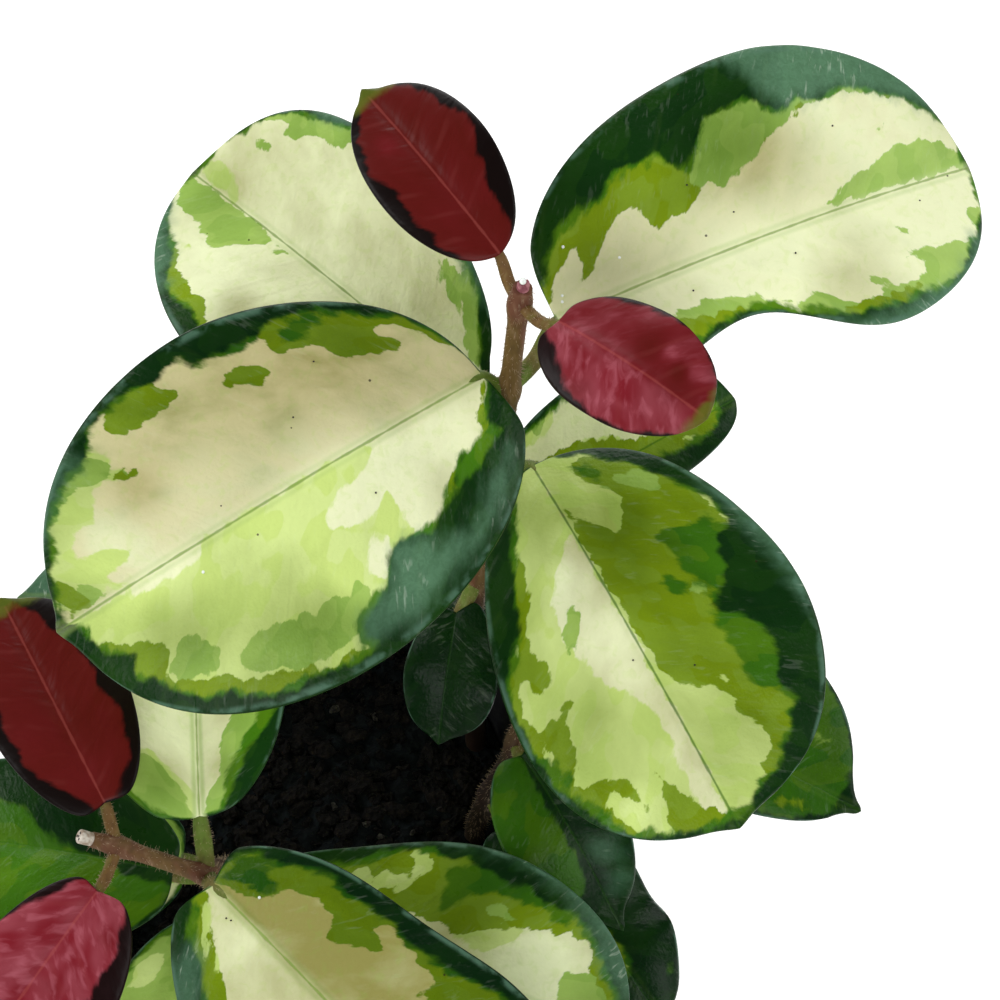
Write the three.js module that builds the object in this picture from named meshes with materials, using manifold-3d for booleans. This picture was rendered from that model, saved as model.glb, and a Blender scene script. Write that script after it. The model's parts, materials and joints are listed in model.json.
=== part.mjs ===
// A small potted wax plant (hoya) with round, thick, variegated leaves and dark red young ones.
// Four vines stand in dark potting mix in a plain round nursery pot. Leaves grow in opposite pairs,
// each pair turned about a quarter turn from the one below it on the vine.
// Millimetres, +Z up. The origin is the centre of the pot's flat underside; -Y is the front.
import * as THREE from 'three';
import { mergeVertices } from 'three/addons/utils/BufferGeometryUtils.js';
import Module from 'manifold-3d';

const wasm = await Module();
wasm.setup();

// Driving dimensions of the pot and its filling
const CLEARANCE = 0.3; // gap kept between neighbouring pieces
const POT_HEIGHT = 88;
const POT_RIM_RADIUS = 50;
const POT_BASE_RADIUS = 36;
const POT_WALL = 1.7;
const POT_FLOOR = 2.2;
const BAND_HEIGHT = 13; // the thicker band below the rim
const BAND_STEP = 1.6;
const EDGE_ROUND = 0.8;
const POT_SIDES = 40;
const DRAIN_HOLES = 6;
const DRAIN_HOLE_RADIUS = 3.5;
const DRAIN_RING_RADIUS = 24;
const SOIL_LEVEL = 77;
const SOIL_CROWN = 2.5; // the filling stands higher in the middle
const SOIL_LUMP = 1.1; // height of its bark lumps

// Driving dimensions of the growth
const STEM_SIDES = 8;
const STEM_FOOT_RADIUS = 2.3;
const STEM_TIP_RADIUS = 1.5;
const NODE_SWELLING = 0.55; // how far a joint of the stem stands out
const NODE_REACH = 2.6; // half the length of that swelling
const BURIED = 20; // length of stem in the soil
const PETIOLE_SIDES = 6;
const PETIOLE_RADIUS = 1.45;
const PETIOLE_END_RADIUS = 0.6; // where it runs out under the midrib
const BLADE_THICKNESS = 1.5;
const MARGIN_THICKNESS = 0.8;
const MIDRIB_DEPTH = 0.7; // the midrib's ridge under the blade
const BLADE_ROWS = 10;
const BLADE_COLUMNS = 6;

// Each vine's path: where it enters the soil, its joints from the lowest up, and its tip
const VINES = {
  a: [[39, 13, 77], [38, 12, 104], [40, 11, 135], [44, 12, 166], [45.5, 9, 187], [47, 6.5, 208],
    [47.4, 5.6, 212]],
  b: [[-7, -20, 77], [-6.5, -29, 98], [-5, -40, 117], [-3.7, -50, 134], [-16.5, -51, 145], [-20, -51.5, 148]],
  c: [[-12, 16, 77], [-13, 21, 98], [-15, 27, 120], [-16, 31, 138], [-16, 32, 141.5]],
  d: [[39, -9, 77], [42, -13, 98], [47, -14, 118], [49, -12, 132], [49.6, -11.6, 135]],
};

// What every blade starts from. Lengths in mm; slopes are rise over run.
const PLAIN_BLADE = {
  round: [0.86, 0.86], // of the left and right halves; below 1 is blunter than an ellipse
  skew: [-0.04, -0.04], // of both halves; above 0 is wider towards the base
  arch: 4, // rise of the midrib between its ends
  fold: [0.1, 0.1], // slope of the left and right halves away from the midrib
  curl: 2, // how far the margins turn down
  wave: 0.8,
  waves: 2,
  notch: [0, 0], // share by which the left or right margin draws in
  notchAt: 0.5, // where along the blade that is
  lobe: [2, 2], // how far each half reaches back past the petiole
  tip: 1.5, // length of the small point
};

// Leaves: the joint they grow from, where the blade starts, where it points (degrees: heading from +X
// towards +Y, pitch up, roll lifting the left half), its length and its left and right half widths.
const LEAVES = [
  { name: 'leaf_a1_left', vine: 'a', joint: 4, base: [41, 8, 190], heading: -147, pitch: -9, roll: -30,
    length: 75, left: 30, right: 29,
    form: { lobe: [3.5, 0], round: [0.86, 0.98], arch: 5, fold: [0.06, 0.06] } },
  { name: 'leaf_a1_right', vine: 'a', joint: 4, base: [53.5, 13, 198], heading: 24, pitch: 4, roll: 30,
    length: 74.5, left: 30.5, right: 21.5,
    form: { notch: [0, 0.48], notchAt: 0.38, round: [0.74, 0.74], skew: [-0.04, -0.1], curl: 4, arch: 6,
      tip: 0 } },
  { name: 'leaf_a2_front', vine: 'a', joint: 3, base: [49.6, 8, 168], heading: -62, pitch: -14, roll: 14,
    length: 67.5, left: 27.5, right: 23, form: { skew: [-0.12, -0.28], lobe: [0, 0], arch: 5 } },
  { name: 'leaf_a2_back', vine: 'a', joint: 3, base: [40.5, 19, 172], heading: 139.5, pitch: 11, roll: -21,
    length: 69, left: 26, right: 24.3,
    form: { round: [0.86, 0.7], skew: [-0.04, -0.3], lobe: [2, -3], arch: 3 } },
  { name: 'leaf_a3_right', vine: 'a', joint: 2, base: [46.5, 19, 140], heading: 27, pitch: 13, roll: 30,
    length: 47, left: 17, right: 8, form: { arch: 3 } },
  { name: 'leaf_a3_front', vine: 'a', joint: 2, base: [36, 6, 129], heading: -100, pitch: -38, roll: 0,
    length: 22, left: 8, right: 8, form: { arch: 2, curl: 1 } },
  { name: 'leaf_a4_right', vine: 'a', joint: 1, base: [47.5, 9, 113], heading: -26.5, pitch: -5, roll: 17,
    length: 66, left: 25, right: 11, form: { tip: 4 } },
  { name: 'leaf_a4_back', vine: 'a', joint: 1, base: [37, 22, 108], heading: 86, pitch: -24, roll: 6,
    length: 50, left: 19, right: 19, form: { arch: 5 } },
  { name: 'leaf_b1_back', vine: 'b', joint: 3, base: [-4.2, -44.7, 143.8], heading: 96, pitch: 5, roll: 0,
    length: 52, left: 19, right: 16, form: { lobe: [2, 1], fold: [0.35, 0.35], arch: 3 } },
  { name: 'leaf_b1_front', vine: 'b', joint: 3, base: [-1, -56, 141], heading: -43, pitch: -12, roll: 12,
    length: 72, left: 22, right: 24,
    form: { lobe: [4, 3], skew: [-0.16, -0.16], notch: [0.1, 0], notchAt: 0.4 } },
  { name: 'leaf_b2_right', vine: 'b', joint: 2, base: [3, -46, 118], heading: -20, pitch: -6, roll: 18,
    length: 65, left: 21.5, right: 24,
    form: { skew: [-0.12, -0.04], notch: [0.18, 0], notchAt: 0.15 } },
  { name: 'leaf_b2_left', vine: 'b', joint: 2, base: [-12, -43, 122], heading: 170, pitch: -3, roll: -10,
    length: 52, left: 20, right: 15, form: { fold: [0.25, 0.25] } },
  { name: 'leaf_b3_front', vine: 'b', joint: 1, base: [-6.5, -41, 98], heading: -102, pitch: -18, roll: -5,
    length: 46, left: 17, right: 17, form: {} },
  { name: 'leaf_b3_left', vine: 'b', joint: 1, base: [-14.5, -29, 102], heading: 179, pitch: -4, roll: -16,
    length: 44, left: 17, right: 15, form: {} },
  { name: 'leaf_c1_back', vine: 'c', joint: 2, base: [-14, 36, 122], heading: 80, pitch: -22, roll: -5,
    length: 48, left: 19, right: 19, form: { arch: 5 } },
  { name: 'leaf_c1_front', vine: 'c', joint: 2, base: [-18, 20, 120], heading: -112, pitch: -14, roll: 0,
    length: 36, left: 14, right: 14, form: {} },
  { name: 'leaf_c2_left', vine: 'c', joint: 1, base: [-21, 24, 99], heading: 163, pitch: -4, roll: -8,
    length: 34.3, left: 15, right: 15, form: {} },
  { name: 'leaf_c2_right', vine: 'c', joint: 1, base: [-5, 25, 99], heading: 34, pitch: -14, roll: 12,
    length: 36, left: 14, right: 14, form: {} },
  { name: 'leaf_d1_front', vine: 'd', joint: 2, base: [48, -19, 120], heading: -57, pitch: -23, roll: 5,
    length: 31, left: 9.5, right: 13, form: { fold: [0.4, 0.4], tip: 4 } },
  { name: 'leaf_d2_front', vine: 'd', joint: 1, base: [46, -21, 99], heading: -54, pitch: -6, roll: 0,
    length: 44, left: 13, right: 15, form: { wave: 2.5, waves: 3 } },
  { name: 'young_leaf_a_back', vine: 'a', joint: 5, base: [43.8, 10.5, 214.6], heading: 127, pitch: 13,
    roll: -20, length: 34.8, left: 9.5, right: 10.6,
    form: { round: [0.95, 0.95], skew: [0.04, -0.1], lobe: [0, 0], arch: 2, fold: [0.12, 0.12], curl: 1,
      wave: 0.3 } },
  { name: 'young_leaf_a_right', vine: 'a', joint: 5, base: [53, -4, 213.9], heading: -42, pitch: -2, roll: 22,
    length: 26.3, left: 9.6, right: 9.6,
    form: { skew: [-0.04, 0.1], lobe: [1, 2], arch: 2, curl: 1, wave: 0.3 } },
  { name: 'young_leaf_b_back', vine: 'b', joint: 4, base: [-18, -47, 152], heading: 121, pitch: 12, roll: -5,
    length: 38, left: 11, right: 12, form: { arch: 2, curl: 1, wave: 0.3 } },
  { name: 'young_leaf_b_front', vine: 'b', joint: 4, base: [-18.5, -60, 146], heading: -120, pitch: -8,
    roll: -18, length: 34, left: 13.2, right: 10, form: { arch: 2, curl: 1, wave: 0.3 } },
  { name: 'young_leaf_c_back', vine: 'c', joint: 3, base: [-11, 38, 143], heading: 62, pitch: 15, roll: 0,
    length: 26, left: 9, right: 9, form: { arch: 1.5, curl: 0.8, wave: 0.3 } },
  { name: 'young_leaf_c_front', vine: 'c', joint: 3, base: [-20, 26, 142], heading: -125, pitch: 5, roll: -8,
    length: 24, left: 8, right: 8, form: { arch: 1.5, curl: 0.8, wave: 0.3 } },
  { name: 'young_leaf_d_back', vine: 'd', joint: 3, base: [51, -5, 135], heading: 62, pitch: -10, roll: 0,
    length: 24, left: 8, right: 8, form: { arch: 1.5, curl: 0.8, wave: 0.3 } },
  { name: 'young_leaf_d_right', vine: 'd', joint: 3, base: [55, -16, 135], heading: -38, pitch: 0, roll: 8,
    length: 26, left: 9, right: 9, form: { arch: 1.5, curl: 0.8, wave: 0.3 } },
];

const MATERIALS = {
  pot: new THREE.MeshStandardMaterial({ color: 0x15161a, roughness: 0.5, metalness: 0 }),
  soil: new THREE.MeshStandardMaterial({ color: 0x1a130f, roughness: 0.95, metalness: 0 }),
  stem: new THREE.MeshStandardMaterial({ color: 0x7a5a3c, roughness: 0.6, metalness: 0 }),
  leaf: new THREE.MeshStandardMaterial({ color: 0x9db45a, roughness: 0.35, metalness: 0 }),
  youngLeaf: new THREE.MeshStandardMaterial({ color: 0x5e1418, roughness: 0.3, metalness: 0 }),
};

const lerp = THREE.MathUtils.lerp;

// A three.js geometry as a solid that can be cut and joined
function solidOf(geometry) {
  const bare = new THREE.BufferGeometry();
  bare.setAttribute('position', geometry.getAttribute('position'));
  bare.setIndex(geometry.getIndex());
  const merged = mergeVertices(bare, 1e-4);
  return new wasm.Manifold(new wasm.Mesh({
    numProp: 3,
    vertProperties: merged.getAttribute('position').array,
    triVerts: new Uint32Array(merged.getIndex().array),
  }));
}

// A solid as a named mesh
function meshOf(name, solid, material) {
  const made = solid.getMesh();
  const geometry = new THREE.BufferGeometry();
  geometry.setAttribute('position', new THREE.BufferAttribute(made.vertProperties, 3));
  geometry.setIndex(new THREE.BufferAttribute(made.triVerts, 1));
  geometry.computeVertexNormals();
  const mesh = new THREE.Mesh(geometry, material);
  mesh.name = name;
  return mesh;
}

// A closed geometry from points and triangles
function closedGeometry(points, triangles) {
  const geometry = new THREE.BufferGeometry();
  geometry.setAttribute('position', new THREE.Float32BufferAttribute(points.flat(), 3));
  geometry.setIndex(triangles.flat());
  return geometry;
}

// A round limb along a curve, its radius changing from end to end, closed at both ends
function limb(curve, radiusAt, steps, sides) {
  const tube = new THREE.TubeGeometry(curve, steps, 1, sides);
  const places = tube.getAttribute('position');
  const points = [];
  for (let i = 0; i <= steps; i += 1) {
    const centre = curve.getPointAt(i / steps);
    for (let j = 0; j < sides; j += 1) {
      const place = new THREE.Vector3().fromBufferAttribute(places, i * (sides + 1) + j);
      points.push(place.sub(centre).multiplyScalar(radiusAt(i / steps)).add(centre).toArray());
    }
  }
  const foot = points.push(curve.getPointAt(0).toArray()) - 1;
  const end = points.push(curve.getPointAt(1).toArray()) - 1;
  const last = steps * sides;
  const triangles = [];
  for (let j = 0; j < sides; j += 1) {
    const next = (j + 1) % sides;
    for (let i = 0; i < last; i += sides) {
      triangles.push([i + j, i + sides + j, i + next], [i + next, i + sides + j, i + sides + next]);
    }
    triangles.push([foot, j, next], [end, last + next, last + j]);
  }
  return closedGeometry(points, triangles);
}

// The pot: a tapered cup with a thicker band at the rim and drain holes in its floor
const innerRadiusAt = (z) => lerp(POT_BASE_RADIUS - POT_WALL, POT_RIM_RADIUS - POT_WALL, z / POT_HEIGHT);

function potSolid() {
  const bandFoot = POT_HEIGHT - BAND_HEIGHT;
  const underBand = innerRadiusAt(bandFoot) + POT_WALL - BAND_STEP / 2;
  const profile = [
    [0, 0],
    [POT_BASE_RADIUS - EDGE_ROUND, 0],
    [POT_BASE_RADIUS, EDGE_ROUND],
    [underBand, bandFoot],
    [POT_RIM_RADIUS - EDGE_ROUND / 2, bandFoot + EDGE_ROUND],
    [POT_RIM_RADIUS, POT_HEIGHT - EDGE_ROUND],
    [POT_RIM_RADIUS - EDGE_ROUND, POT_HEIGHT],
    [POT_RIM_RADIUS - POT_WALL, POT_HEIGHT],
    [innerRadiusAt(POT_FLOOR), POT_FLOOR],
    [0, POT_FLOOR],
  ].map(([r, z]) => new THREE.Vector2(r, z));
  let pot = solidOf(new THREE.LatheGeometry(profile, POT_SIDES).rotateX(Math.PI / 2));
  for (let i = 0; i < DRAIN_HOLES; i += 1) {
    const angle = (2 * Math.PI * (i + 0.5)) / DRAIN_HOLES;
    const hole = new THREE.CylinderGeometry(DRAIN_HOLE_RADIUS, DRAIN_HOLE_RADIUS, 3 * POT_FLOOR, 12)
      .rotateX(Math.PI / 2)
      .translate(DRAIN_RING_RADIUS * Math.cos(angle), DRAIN_RING_RADIUS * Math.sin(angle), POT_FLOOR / 2);
    pot = pot.subtract(solidOf(hole));
  }
  return pot;
}

// The filling's surface: crowned, with lumps of bark standing out of it
const soilHeight = (x, y) => {
  const share = Math.hypot(x, y) / innerRadiusAt(SOIL_LEVEL);
  const lumps = Math.sin(0.55 * x + 0.9 * Math.sin(0.31 * y)) * Math.sin(0.49 * y + 1.1 * Math.sin(0.37 * x));
  return SOIL_LEVEL - SOIL_CROWN * (share ** 2) + SOIL_LUMP * lumps * (1 - share ** 8);
};

function soilSolid() {
  const foot = POT_FLOOR + CLEARANCE;
  const shoulder = SOIL_LEVEL - SOIL_CROWN;
  const wallAt = (z) => innerRadiusAt(z) - CLEARANCE;
  const rings = 9;
  const profile = [[0, foot], [wallAt(foot), foot], [wallAt(shoulder), shoulder]];
  for (let i = rings - 1; i >= 0; i -= 1) profile.push([(wallAt(shoulder) * i) / rings, shoulder]);
  const body = new THREE.LatheGeometry(profile.map(([r, z]) => new THREE.Vector2(r, z)), POT_SIDES)
    .rotateX(Math.PI / 2);
  const places = body.getAttribute('position');
  for (let i = 0; i < places.count; i += 1) {
    const [x, y, z] = [places.getX(i), places.getY(i), places.getZ(i)];
    const isTop = z > shoulder - 0.01 && Math.hypot(x, y) < wallAt(shoulder) - 0.5;
    if (isTop) places.setZ(i, soilHeight(x, y));
  }
  return solidOf(body);
}

// A vine's path as a curve, with its buried foot
function vineCurve(points, extra = 0) {
  const foot = new THREE.Vector3(...points[0]);
  const buried = foot.clone().add(new THREE.Vector3(0, 0, -BURIED - extra));
  const path = [buried, ...points.map((p) => new THREE.Vector3(...p))];
  return new THREE.CatmullRomCurve3(path, false, 'centripetal');
}

// A stem, thicker at its foot and at its joints; grown by a clearance, it is the cutter for its neighbours
function stemSolid(points, grow = 0) {
  const curve = vineCurve(points, grow);
  const length = curve.getLength();
  const steps = Math.round(length / 4);
  const joints = points.slice(1, -1).map((p) => {
    const target = new THREE.Vector3(...p);
    const near = [...Array(400).keys()].map((i) => curve.getPointAt(i / 399).distanceTo(target));
    return near.indexOf(Math.min(...near)) / 399;
  });
  const radiusAt = (t) => {
    const swelling = joints.reduce((sum, at) => sum + Math.exp(-(((t - at) * length / NODE_REACH) ** 2)), 0);
    return lerp(STEM_FOOT_RADIUS, STEM_TIP_RADIUS, t) + NODE_SWELLING * Math.min(1, swelling) + grow;
  };
  return solidOf(limb(curve, radiusAt, steps, STEM_SIDES));
}

// Place of a point of the blade's middle surface, in the blade's own frame: x to the tip, y to the left,
// z up. s runs from base to tip, and t from the right margin (-1) to the left one (1).
function bladePoint(leaf, s, t) {
  const form = { ...PLAIN_BLADE, ...leaf.form };
  const half = t > 0 ? leaf.left : leaf.right;
  const pick = (pair) => (t > 0 ? pair[0] : pair[1]);
  const turn = Math.acos(1 - 2 * s);
  const belly = Math.sin(turn) ** pick(form.round) * (1 + pick(form.skew) * Math.cos(turn));
  const y = t * half * belly * (1 - pick(form.notch) * Math.exp(-(((s - form.notchAt) / 0.2) ** 2)));
  const x = leaf.length * s - pick(form.lobe) * Math.abs(t) * (1 - s) ** 4
    + form.tip * Math.max(0, (s - 0.93) / 0.07) ** 2 * (1 - Math.abs(t));
  const z = form.arch * 4 * s * (1 - s)
    + pick(form.fold) * (Math.hypot(y, 1) - 1)
    - form.curl * Math.abs(t) ** 3 * belly
    + form.wave * Math.sin(2 * Math.PI * form.waves * s + (t > 0 ? 0 : 2)) * t * t * belly;
  return new THREE.Vector3(x, y, z);
}

// The blade's normal, from its own surface
function bladeNormal(leaf, s, t) {
  const step = 0.01;
  const [s0, s1] = [Math.max(s - step, 0.001), Math.min(s + step, 0.999)];
  const along = bladePoint(leaf, s1, t).sub(bladePoint(leaf, s0, t));
  const middle = THREE.MathUtils.clamp(s, 0.02, 0.98);
  const [t0, t1] = [Math.max(t - 0.1, -1), Math.min(t + 0.1, 1)];
  const across = bladePoint(leaf, middle, t1).sub(bladePoint(leaf, middle, t0));
  return along.cross(across).normalize();
}

// The frame that carries a blade to its place
function bladeFrame(leaf) {
  const [heading, pitch, roll] = [leaf.heading, leaf.pitch, leaf.roll].map(THREE.MathUtils.degToRad);
  return new THREE.Matrix4().makeTranslation(...leaf.base)
    .multiply(new THREE.Matrix4().makeRotationZ(heading))
    .multiply(new THREE.Matrix4().makeRotationY(-pitch))
    .multiply(new THREE.Matrix4().makeRotationX(roll));
}

// The blade: rows of points between its base and its tip on both faces, with the faces split alike
function bladeGeometry(leaf) {
  const points = [];
  const place = (s, t, face) => {
    const thickness = lerp(BLADE_THICKNESS, MARGIN_THICKNESS, Math.abs(t) ** 2);
    const ridge = face < 0 && t === 0 ? MIDRIB_DEPTH * (1 - s) : 0;
    const rise = face * (thickness / 2 + ridge);
    const point = bladePoint(leaf, s, t).addScaledVector(bladeNormal(leaf, s, t), rise);
    return points.push(point.toArray()) - 1;
  };
  const faces = [1, -1].map((face) => {
    const rows = [];
    for (let i = 1; i < BLADE_ROWS; i += 1) {
      const s = (1 - Math.cos((Math.PI * i) / BLADE_ROWS)) / 2;
      const row = [];
      for (let j = 0; j <= BLADE_COLUMNS; j += 1) row.push(place(s, (2 * j) / BLADE_COLUMNS - 1, face));
      rows.push(row);
    }
    return { rows, base: place(0, 0, face), tip: place(1, 0, face) };
  });
  const triangles = [];
  faces.forEach(({ rows, base, tip }, k) => {
    const add = (a, b, c) => triangles.push(k ? [a, c, b] : [a, b, c]);
    for (let j = 0; j < BLADE_COLUMNS; j += 1) {
      add(base, rows[0][j], rows[0][j + 1]);
      add(tip, rows.at(-1)[j + 1], rows.at(-1)[j]);
      for (let i = 1; i < rows.length; i += 1) {
        add(rows[i - 1][j], rows[i][j], rows[i - 1][j + 1]);
        add(rows[i][j], rows[i][j + 1], rows[i - 1][j + 1]);
      }
    }
  });
  const rims = faces.map(({ rows, base, tip }) => [
    base, ...rows.map((row) => row[0]), tip, ...rows.map((row) => row.at(-1)).reverse(),
  ]);
  rims[0].forEach((upper, i) => {
    const next = (i + 1) % rims[0].length;
    triangles.push([upper, rims[1][i], rims[0][next]], [rims[0][next], rims[1][i], rims[1][next]]);
  });
  return closedGeometry(points, triangles).applyMatrix4(bladeFrame(leaf));
}

// The petiole: from the vine's axis out to the blade, and on a little under its midrib
function petioleGeometry(leaf) {
  const frame = bladeFrame(leaf);
  const joint = new THREE.Vector3(...VINES[leaf.vine][leaf.joint]);
  const inBlade = (s, sink) => bladePoint(leaf, s, 0).add(new THREE.Vector3(0, 0, -sink)).applyMatrix4(frame);
  const base = inBlade(0, 0.6);
  const under = inBlade(0.12, 0.9);
  const outward = base.clone().sub(joint);
  const sag = new THREE.Vector3(0, 0, -0.12 * outward.length());
  const bend = joint.clone().addScaledVector(outward, 0.5).add(sag);
  const curve = new THREE.CatmullRomCurve3([joint, bend, base, under], false, 'centripetal');
  const radiusAt = (t) => lerp(PETIOLE_RADIUS, PETIOLE_END_RADIUS, THREE.MathUtils.smoothstep(t, 0.4, 1));
  return limb(curve, radiusAt, 6, PETIOLE_SIDES);
}

const stems = Object.fromEntries(Object.entries(VINES).map(([key, points]) => [key, stemSolid(points)]));
const cutters = Object.fromEntries(
  Object.entries(VINES).map(([key, points]) => [key, stemSolid(points, CLEARANCE)]),
);

// A leaf: blade and petiole grown together, ending just short of the stem that carries it
function leafSolid(leaf) {
  return solidOf(bladeGeometry(leaf)).add(solidOf(petioleGeometry(leaf))).subtract(cutters[leaf.vine]);
}

const plant = new THREE.Group();
plant.name = 'potted_hoya';
plant.add(meshOf('pot', potSolid(), MATERIALS.pot));
const soil = Object.values(cutters).reduce((solid, cutter) => solid.subtract(cutter), soilSolid());
plant.add(meshOf('soil', soil, MATERIALS.soil));
for (const [key, stem] of Object.entries(stems)) plant.add(meshOf(`stem_${key}`, stem, MATERIALS.stem));
for (const leaf of LEAVES) {
  const material = leaf.name.startsWith('young') ? MATERIALS.youngLeaf : MATERIALS.leaf;
  plant.add(meshOf(leaf.name, leafSolid(leaf), material));
}

export default plant;
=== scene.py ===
# %% [markdown]
# # A small variegated wax plant in a nursery pot
#
# This file dresses a fixed model of a young hoya: four vines, thick round leaves marbled in cream,
# lime and dark green, and a few dark red young leaves. The fixed model gives every piece its place.
# Each cell below makes one kind of piece or one finish, and says why it is made that way.

# %% Load the fixed model
import json
import math
import random

import bmesh
import bpy
import numpy as np
from mathutils import Matrix, Vector, noise

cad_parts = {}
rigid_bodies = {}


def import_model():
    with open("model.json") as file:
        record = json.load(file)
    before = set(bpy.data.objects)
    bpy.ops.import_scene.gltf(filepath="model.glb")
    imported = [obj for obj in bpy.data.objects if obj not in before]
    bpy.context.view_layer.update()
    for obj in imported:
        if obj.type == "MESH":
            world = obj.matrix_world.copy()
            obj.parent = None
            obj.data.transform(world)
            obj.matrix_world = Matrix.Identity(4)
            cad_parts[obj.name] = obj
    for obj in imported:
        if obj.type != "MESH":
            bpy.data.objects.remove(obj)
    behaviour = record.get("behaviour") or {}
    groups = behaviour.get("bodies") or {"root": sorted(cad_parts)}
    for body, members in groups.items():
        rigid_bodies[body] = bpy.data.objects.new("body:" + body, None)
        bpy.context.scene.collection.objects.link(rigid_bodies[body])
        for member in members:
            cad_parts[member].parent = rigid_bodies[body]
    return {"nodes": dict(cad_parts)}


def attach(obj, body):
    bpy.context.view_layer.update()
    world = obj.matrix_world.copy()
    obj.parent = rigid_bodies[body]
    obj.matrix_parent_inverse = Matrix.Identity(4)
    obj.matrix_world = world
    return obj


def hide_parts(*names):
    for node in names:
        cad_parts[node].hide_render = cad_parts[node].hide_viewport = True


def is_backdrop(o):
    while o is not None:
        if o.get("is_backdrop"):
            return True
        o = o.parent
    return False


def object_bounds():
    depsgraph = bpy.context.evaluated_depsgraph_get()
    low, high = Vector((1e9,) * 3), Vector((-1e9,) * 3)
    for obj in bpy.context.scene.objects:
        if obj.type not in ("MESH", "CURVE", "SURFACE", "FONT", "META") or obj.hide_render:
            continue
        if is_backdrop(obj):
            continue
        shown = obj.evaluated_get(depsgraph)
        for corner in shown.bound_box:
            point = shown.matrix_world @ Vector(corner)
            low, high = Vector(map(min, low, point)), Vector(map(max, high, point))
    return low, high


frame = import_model()
cad_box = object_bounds()
MM = 0.001
rng = random.Random(11)
print("nodes:", len(frame["nodes"]), "box:", [round(x, 4) for corner in cad_box for x in corner])

# %% [markdown]
# ## The camera
#
# The photograph looks down on the plant from the front, about 50 degrees above the table, from less
# than half a metre away. A short distance matters more than the lens: it makes the top leaves large
# against the pot. So the camera stands at a real place, and the lens follows from the frame's width.

# %% Camera
CAMERA_PLACE = Vector((44, -202, 410)) * MM
CAMERA_PITCH = 50  # degrees below the horizon
SENSOR = 36
LENS = 68.4

camera_data = bpy.data.cameras.new("camera")
camera_data.sensor_width = SENSOR
camera_data.lens = LENS
camera = bpy.data.objects.new("camera", camera_data)
camera.location = CAMERA_PLACE
camera.rotation_euler = (math.radians(90 - CAMERA_PITCH), 0, 0)
bpy.context.scene.collection.objects.link(camera)
bpy.context.scene.camera = camera
print("camera:", [round(x, 3) for x in camera.location], "lens:", LENS)

# %% [markdown]
# ## Table and light
#
# The plant stands in the open against white, in soft even light without a sun. Four wide lamps stand
# low around it. A lamp overhead would mirror in the flat leaves and wash their dark margins grey, so
# there is none. The surroundings and a faintly glowing table keep the shadows open.

# %% Floor, lamps and surroundings
FLOOR_SIZE = 3.0


def srgb(red, green, blue):
    """A colour given as a screen shows it, 0 to 255, as the linear values that Blender mixes"""
    share = [c / 255 for c in (red, green, blue)]
    return tuple(c / 12.92 if c < 0.04045 else ((c + 0.055) / 1.055) ** 2.4 for c in share) + (1.0,)


def shown(name, data):
    """An object in the scene that holds some data"""
    made = bpy.data.objects.new(name, data)
    bpy.context.scene.collection.objects.link(made)
    return made


def mesh_from(bm, name):
    """A new mesh from a bmesh, which is then freed"""
    mesh = bpy.data.meshes.new(name)
    bm.to_mesh(mesh)
    bm.free()
    return mesh


def lamp(name, place, aim, width, watts):
    """A square soft lamp that faces a point"""
    data = bpy.data.lights.new(name, "AREA")
    data.size = width
    data.energy = watts
    made = shown(name, data)
    made.location = place
    made.rotation_euler = (Vector(place) - Vector(aim)).to_track_quat("Z", "Y").to_euler()
    return made


LAMP_REACH = 1.0
LAMP_HEIGHT = 0.75
LAMP_WIDTH = 0.8
LAMPS = (("left", 180, 9.3), ("front", 270, 7.0), ("right", 0, 5.7), ("back", 90, 7.6))  # degrees, watts
MIDDLE = (0.02, 0, 0.15)
SKY_COLOUR = (0.96, 0.98, 1.0, 1)
SKY_STRENGTH = 0.14
for name, degrees, watts in LAMPS:
    turn = math.radians(degrees)
    away = (LAMP_REACH * math.cos(turn), LAMP_REACH * math.sin(turn), LAMP_HEIGHT)
    lamp(name, away, MIDDLE, LAMP_WIDTH, watts)

world = bpy.data.worlds.new("surroundings")
world.use_nodes = True
world.node_tree.nodes["Background"].inputs["Color"].default_value = SKY_COLOUR
world.node_tree.nodes["Background"].inputs["Strength"].default_value = SKY_STRENGTH
bpy.context.scene.world = world
bpy.context.scene.view_settings.view_transform = "Standard"

table = bmesh.new()
bmesh.ops.create_grid(table, x_segments=1, y_segments=1, size=FLOOR_SIZE / 2)
floor = shown("floor", mesh_from(table, "floor"))
floor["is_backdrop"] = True

# %% [markdown]
# ## Small helpers for shader nodes
#
# Every finish here is a few nodes joined by hand. These helpers add a node and set its inputs by
# name or number, so that each finish reads as a short recipe.


# %% Shader helpers
def add(tree, kind, inputs=None, **settings):
    """A node of a kind, with its settings and inputs; an input may be a value or another's output"""
    node = tree.nodes.new(kind)
    for key, value in settings.items():
        setattr(node, key, value)
    for key, value in (inputs or {}).items():
        if isinstance(value, bpy.types.NodeSocket):
            tree.links.new(value, node.inputs[key])
        else:
            node.inputs[key].default_value = value
    return node


def maths(tree, operation, *values, clamp=False):
    """One sum on numbers"""
    node = add(tree, "ShaderNodeMath", dict(enumerate(values)), operation=operation, use_clamp=clamp)
    return node.outputs[0]


def times(tree, first, second, clamp=False):
    """One number times another"""
    return maths(tree, "MULTIPLY", first, second, clamp=clamp)


def plus(tree, first, second, clamp=False):
    """Two numbers added"""
    return maths(tree, "ADD", first, second, clamp=clamp)


def minus(tree, first, second, clamp=False):
    """One number less another"""
    return maths(tree, "SUBTRACT", first, second, clamp=clamp)


def blend(tree, share, first, second):
    """A colour between two others"""
    return add(tree, "ShaderNodeMix", {0: share, 6: first, 7: second}, data_type="RGBA").outputs[2]


def wash(tree, colour, mask, strength, tone):
    """A colour with a thin layer of another where a mask is"""
    return blend(tree, times(tree, mask, strength), colour, tone)


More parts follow.
